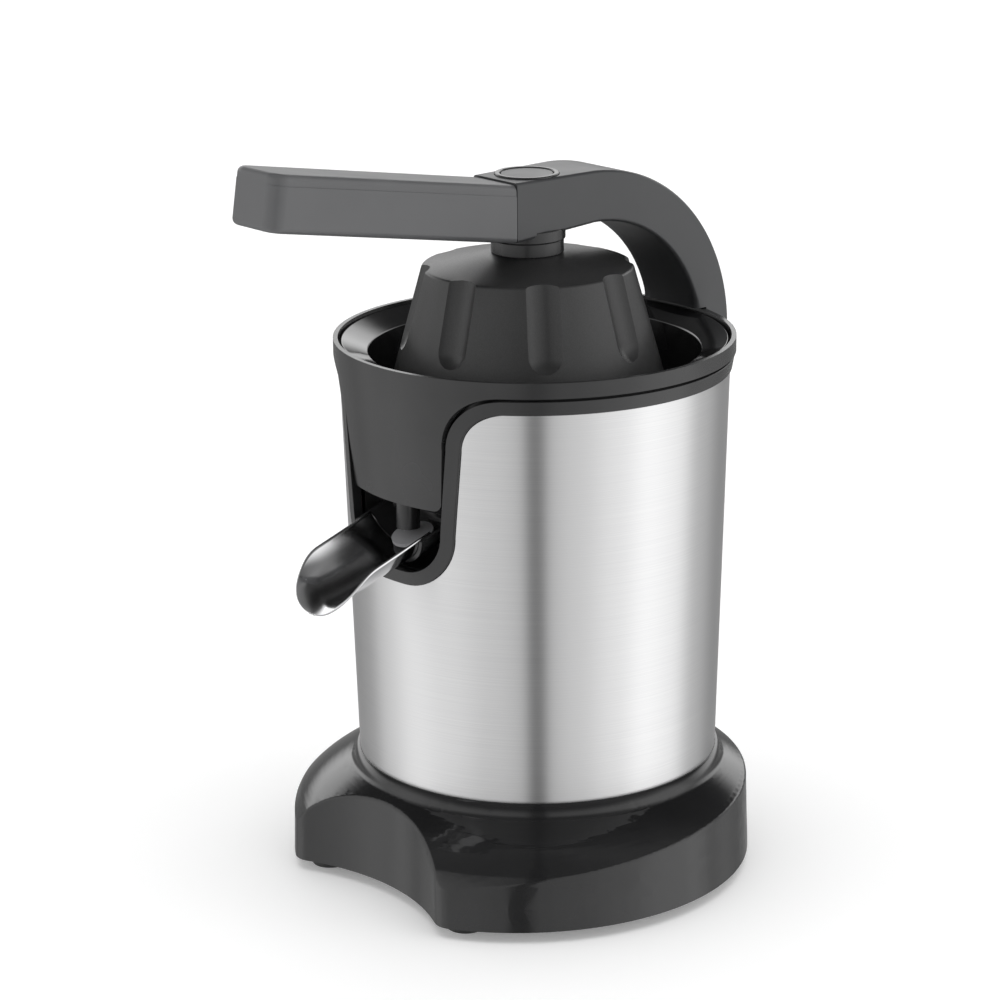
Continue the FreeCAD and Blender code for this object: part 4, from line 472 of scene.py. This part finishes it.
def gutter_spot(row, column):
    """Point of the gutter: rows run back from the tip, where its plan closes in a round, flared lip."""
    back = GUTTER_LENGTH * (1 - math.cos(math.pi / 2 * row / ROWS))
    short = max(0.0, 1 - back / TIP_RUN)
    half = GUTTER_HALF * (1 - short ** TIP_FULLNESS) ** (1 / TIP_FULLNESS)
    angle = math.asin(half / GUTTER_RADIUS) * (2 * column / ACROSS - 1)
    across = GUTTER_RADIUS * math.sin(angle)
    reach = ((abs(across) / GUTTER_HALF) ** TIP_FULLNESS + short ** TIP_FULLNESS) ** (1 / TIP_FULLNESS)
    edge = max(0.0, (reach - LIP_START) / (1 - LIP_START))
    lift = LIP_LIFT * short * short - LIP_FLARE * soft_step(min(1, short / LIP_RUN)) * edge * edge
    floor_height = GUTTER_CENTRE - GUTTER_RADIUS * math.cos(angle) + lift
    return SPOUT_TILT @ Vector((across, GUTTER_TIP + back, floor_height)) + SPOUT_PIVOT


gutter_mesh = bpy.data.meshes.new("gutter")
build = bmesh.new()
grid = []
for row in range(ROWS + 1):
    grid.append([build.verts.new(gutter_spot(row, column)) for column in range(ACROSS + 1)])
for near, far in zip(grid, grid[1:]):
    for column in range(ACROSS):
        build.faces.new((near[column], near[column + 1], far[column + 1], far[column]))
bmesh.ops.remove_doubles(build, verts=build.verts, dist=WELD_GAP)
for face in build.faces:
    face.smooth = True
build.to_mesh(gutter_mesh)
build.free()
gutter_mesh.materials.append(bright_steel)
gutter = bpy.data.objects.new("gutter", gutter_mesh)
sheet = gutter.modifiers.new("sheet", "SOLIDIFY")
sheet.thickness = SHEET_THICKNESS
sheet.offset = 0
stand_for(gutter, "spout")
skin("spout_holder", soft_black)
paint(plated, "spout_pins")

PAD_DEPTH = 0.0016
PAD_EDGE = 0.0005
stopper_grey = moulded(
    "stopper_grey", (0.30, 0.30, 0.31), (0.36, 0.36, 0.37), rough=(0.4, 0.5), grain=900, relief=0.05
)
stopper = skin("stopper_pad", stopper_grey, PAD_EDGE)
stopper.data.materials.append(soft_black)
level_spout = SPOUT_TILT.transposed()
pad_top = max((level_spout @ vertex.co).z for vertex in stopper.data.vertices)
for polygon in stopper.data.polygons:
    if (level_spout @ polygon.center).z < pad_top - PAD_DEPTH:
        polygon.material_index = 1

# Arm and handle: thick charcoal mouldings with a satin finish; the handle has a cover on top.
# The arm turns on a steel pin in a bracket behind the bowl. It carries a button on a spring, and under
# that a collar and a stem for the dome.

charcoal = moulded(
    "charcoal", (0.088, 0.089, 0.092), (0.100, 0.101, 0.104), rough=(0.34, 0.42), grain=1800, relief=0.06
)
arm_grey = moulded(
    "arm_grey", (0.037, 0.038, 0.040), (0.045, 0.046, 0.048), rough=(0.34, 0.42), grain=1800, relief=0.06
)
STEP_HEIGHT = 0.2355
STEP_DROP = 0.0025
STEP_BACK = 0.1105
SAME_HEIGHT = 2e-5
RIM_CLEAR = 0.0857
ARM_EDGE = 0.0153
ARM_SLICES = 10


def close_step(piece):
    """Bring the step in the arm's leg down to the rim, with its back edge round the rim."""
    build = bmesh.new()
    build.from_mesh(piece.data)
    slice_level(build, Vector((1, 0, 0)), -ARM_EDGE, 2 * ARM_EDGE / (ARM_SLICES - 1), ARM_SLICES)
    for corner in build.verts:
        if abs(corner.co.z - STEP_HEIGHT) < SAME_HEIGHT:
            corner.co.z -= STEP_DROP
            if corner.co.y > STEP_BACK:
                corner.co.y = AXIS.y + math.sqrt(RIM_CLEAR ** 2 - corner.co.x ** 2)
    build.to_mesh(piece.data)
    build.free()


for node in ("handle_body", "handle_cover"):
    skin(node, charcoal, SMALL_EDGE)
close_step(skin("lever_arm", arm_grey))
skin("release_button", arm_grey, SMALL_EDGE)
for node in ("button_ring", "stem_collar", "press_stem"):
    skin(node, soft_black, SMALL_EDGE)


def fit_spring(node):
    """A welded copy of a wire spring in plated steel, with a mesh of its own."""
    spring = skin(node, plated)
    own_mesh(spring)


fit_spring("button_spring")

# Press dome and reamer: a thick fluted cup with a fine sparked texture, on a stem under the arm.
# The ribbed cone under it pushes onto the spindle; both are moulded in black plastic.

dome_black, tree, shader = new_material("dome_black")
speck = noise(tree, object_space(tree), scale=2600, detail=1)
sparked_grey = tint(tree, speck, (0.016, 0.016, 0.016), (0.024, 0.024, 0.0245))
tree.links.new(sparked_grey, shader.inputs["Base Color"])
tree.links.new(spread(tree, speck, 0.40, 0.30), shader.inputs["Roughness"])
add_bump(tree, shader, speck, strength=0.12, distance=0.0002)
skin("press_dome", dome_black)
reamer_black = moulded(
    "reamer_black", (0.016, 0.016, 0.016), (0.024, 0.024, 0.024), rough=(0.3, 0.4), grain=800, relief=0.05
)
skin("reamer", reamer_black)

# Hinge: a plated steel bracket on the back of the sleeve, with a riveted pin and bronze bushes in the arm.
# Two screws go through bracket and sleeve into the tub; two more under the handle hold its halves together.

bronze = metal("bearing_bronze", (0.42, 0.27, 0.13), (0.52, 0.35, 0.18), rough=(0.3, 0.45))
paint(plated, "hinge_bracket", "hinge_pin")
paint(bronze, "hinge_bushes")
BRACKET_SEATS = [(side * 0.006, 0.1094, 0.2) for side in SIDES]
BRACKET_SHANK = 0.0093
BRACKET_TURN = (math.radians(90), 0, 0)
HANDLE_SEATS = [(0, -0.0274, 0.28724), (0, -0.0924, 0.29903)]
HANDLE_SHANK = 0.0161
fit_screws("bracket_screws", BRACKET_SEATS, BRACKET_SHANK, BRACKET_TURN)
fit_screws("handle_screws", HANDLE_SEATS, HANDLE_SHANK)

# Drive: a series motor in a steel can under a two-stage gearbox with nylon wheels, all inside the sleeve.
# The cores are stacked iron, the windings enamelled copper, the bearings and the pinion bronze, and the
# boxes grey plastic.

iron = metal("laminated_iron", (0.16, 0.16, 0.17), (0.24, 0.24, 0.25), rough=(0.4, 0.55))
copper = metal("copper_wire", (0.50, 0.19, 0.07), (0.64, 0.28, 0.12), rough=(0.25, 0.4))
nylon = moulded(
    "white_nylon", (0.66, 0.65, 0.61), (0.74, 0.73, 0.69), rough=(0.35, 0.45), grain=700, relief=0.05
)
grey_box = moulded(
    "grey_plastic", (0.17, 0.17, 0.18), (0.21, 0.21, 0.22), rough=(0.4, 0.5), grain=900, relief=0.08
)
paint(iron, "stator_core", "armature_core")
paint(copper, "field_coils", "armature_winding")
paint(bronze, "spindle_bush", "motor_bearings", "motor_pinion", "commutator")
paint(nylon, "output_gear", "compound_gear", "cooling_fan", "switch_plunger")
paint(grey_box, "gearbox_case", "gearbox_bridge", "gearbox_cover")
paint(grey_box, "micro_switch", "terminal_block", "brush_holders")
paint(plated, "drive_spindle", "axle_pin", "gearbox_screws")
paint(plated, "motor_can", "motor_end_shield", "motor_shaft", "motor_screws")
fit_spring("start_spring")

# Floor and light: a white floor, and a room whose walls are lit in soft bands round the horizon.
# The bands give the steel its streaks, a panel behind shows in the flat tops, and a wide lamp overhead
# gives the soft shadow.

WHITE = (1, 1, 1, 1)
FLOOR_HALF = 6
FLOOR_GLOW = 0.2
floor_mesh = bpy.data.meshes.new("floor")
build = bmesh.new()
bmesh.ops.create_grid(build, x_segments=1, y_segments=1, size=FLOOR_HALF)
build.to_mesh(floor_mesh)
build.free()
floor = bpy.data.objects.new("floor", floor_mesh)
bpy.context.scene.collection.objects.link(floor)
floor_white, tree, shader = new_material("floor_white")
shader.inputs["Base Color"].default_value = (0.95, 0.95, 0.95, 1)
shader.inputs["Roughness"].default_value = 0.8
shader.inputs["Emission Color"].default_value = WHITE
shader.inputs["Emission Strength"].default_value = FLOOR_GLOW
floor.data.materials.append(floor_white)
floor.visible_glossy = False

world = bpy.data.worlds.new("studio")
bpy.context.scene.world = world
world.use_nodes = True
tree = world.node_tree
sky = tree.nodes["Background"]
CAMERA_TURN = math.radians(49)
facing = add_node(tree, "ShaderNodeTexCoord")
turned = add_node(tree, "ShaderNodeMapping")
turned.vector_type = "VECTOR"
turned.inputs["Rotation"].default_value = (0, 0, -CAMERA_TURN)
tree.links.new(facing.outputs["Generated"], turned.inputs["Vector"])
parts = add_node(tree, "ShaderNodeSeparateXYZ")
tree.links.new(turned.outputs["Vector"], parts.inputs["Vector"])
angle = add_node(tree, "ShaderNodeMath")
angle.operation = "ARCTAN2"
tree.links.new(parts.outputs["X"], angle.inputs[0])
tree.links.new(parts.outputs["Y"], angle.inputs[1])
turn_share = map_range(tree, angle.outputs["Value"], (-math.pi, math.pi), 0, 1)
ring = add_node(tree, "ShaderNodeValToRGB")
tree.links.new(turn_share.outputs["Result"], ring.inputs["Fac"])
ring.color_ramp.interpolation = "EASE"
# Each band has its place, once round the room by the left from the camera's side, and its brightness.
levels = [
    (0.0, 0.17), (0.009, 0.2), (0.024, 0.78), (0.075, 0.90), (0.16, 1.1), (0.235, 1.28), (0.30, 0.95),
    (0.36, 0.44), (0.42, 0.31), (0.5, 0.30), (0.60, 0.30), (0.68, 0.70), (0.74, 1.45), (0.80, 1.62),
    (0.86, 1.25), (0.93, 0.95), (0.976, 0.80), (0.991, 0.2), (1.0, 0.17),
]
while len(ring.color_ramp.elements) < len(levels):
    ring.color_ramp.elements.new(0.5)
for element, (position, level) in zip(ring.color_ramp.elements, levels):
    element.position = position
    element.color = (level, level, level, 1)


def rise(value, ends, low=0.0, high=1.0):
    """Soft step of a value between two ends, from low to high."""
    step = map_range(tree, value, ends, low, high)
    step.interpolation_type = "SMOOTHSTEP"
    return step.outputs["Result"]


def product(first, second):
    """One value times another."""
    node = add_node(tree, "ShaderNodeMath")
    node.operation = "MULTIPLY"
    tree.links.new(first, node.inputs[0])
    tree.links.new(second, node.inputs[1])
    return node.outputs["Value"]


# Heights run from nought at the horizon to one overhead, and depths to one straight behind the object.
CEILING_HEIGHTS = (0.38, 0.82)
CEILING_LEVEL = 0.2
BACK_DEPTHS = (0.1, 0.5)
BACK_HEIGHTS = (0.42, 0.6)
BACK_LEVEL = 0.3
PANEL_DEPTHS = (0.25, 0.75)
PANEL_FOOT = (0.03, 0.24)
PANEL_HEAD = (0.36, 0.52)
PANEL_LEVEL = 1.7
behind, above = parts.outputs["Y"], parts.outputs["Z"]
back_top = product(rise(behind, BACK_DEPTHS), rise(above, BACK_HEIGHTS))
ceiling = product(rise(above, CEILING_HEIGHTS, 1, CEILING_LEVEL), rise(back_top, (0, 1), 1, BACK_LEVEL))
dimmed = add_node(tree, "ShaderNodeVectorMath")
dimmed.operation = "SCALE"
tree.links.new(ring.outputs["Color"], dimmed.inputs[0])
tree.links.new(ceiling, dimmed.inputs["Scale"])
panel_foot = product(rise(behind, PANEL_DEPTHS), rise(above, PANEL_FOOT))
panel = product(panel_foot, rise(above, PANEL_HEAD, 1, 0))
glow = add_node(tree, "ShaderNodeVectorMath")
glow.operation = "MULTIPLY_ADD"
tree.links.new(panel, glow.inputs[0])
glow.inputs[1].default_value = (PANEL_LEVEL, PANEL_LEVEL, PANEL_LEVEL)
tree.links.new(dimmed.outputs["Vector"], glow.inputs[2])
# The camera itself sees plain white behind the object.
seen = add_node(tree, "ShaderNodeLightPath")
backdrop = add_node(tree, "ShaderNodeMix")
backdrop.data_type = "RGBA"
tree.links.new(seen.outputs["Is Camera Ray"], backdrop.inputs[0])
tree.links.new(glow.outputs["Vector"], backdrop.inputs[6])
backdrop.inputs[7].default_value = WHITE
tree.links.new(backdrop.outputs[2], sky.inputs["Color"])

overhead = bpy.data.lights.new("overhead", "SUN")
overhead.energy = 1.5
overhead.angle = math.radians(70)
overhead_lamp = bpy.data.objects.new("overhead", overhead)
overhead_lamp.visible_glossy = False
bpy.context.scene.collection.objects.link(overhead_lamp)

# Camera: a long lens, well above the rim and turned 49 degrees from the spout.
# It looks down a little, and its slight yaw and roll set the object in the frame.

CAMERA_DISTANCE = 1.32205
RIM_HEIGHT = 0.2325
CAMERA_RISE = 0.32586
YAW = math.radians(-0.662)
PITCH = math.radians(16.812)
ROLL = math.radians(-0.600)
SENSOR_WIDTH = 36
FOCAL_SHARE = 3.2248
away = Vector((-math.sin(CAMERA_TURN), math.cos(CAMERA_TURN), 0))
aside = Vector((math.cos(CAMERA_TURN), math.sin(CAMERA_TURN), 0))
forward = (aside * math.sin(YAW) + away * math.cos(YAW)) * math.cos(PITCH) - UPWARD * math.sin(PITCH)
level_right = forward.cross(UPWARD).normalized()
level_up = level_right.cross(forward)
right = level_right * math.cos(ROLL) + level_up * math.sin(ROLL)
over = level_up * math.cos(ROLL) - level_right * math.sin(ROLL)
place = AXIS + UPWARD * (RIM_HEIGHT + CAMERA_RISE) - away * CAMERA_DISTANCE
camera_data = bpy.data.cameras.new("camera")
camera_data.sensor_width = SENSOR_WIDTH
camera_data.lens = SENSOR_WIDTH * FOCAL_SHARE
camera = bpy.data.objects.new("camera", camera_data)
camera.matrix_world = Matrix((
    (right.x, over.x, -forward.x, place.x),
    (right.y, over.y, -forward.y, place.y),
    (right.z, over.z, -forward.z, place.z),
    (0, 0, 0, 1),
))
bpy.context.scene.collection.objects.link(camera)
bpy.context.scene.camera = camera
bpy.context.scene.view_settings.view_transform = "Standard"
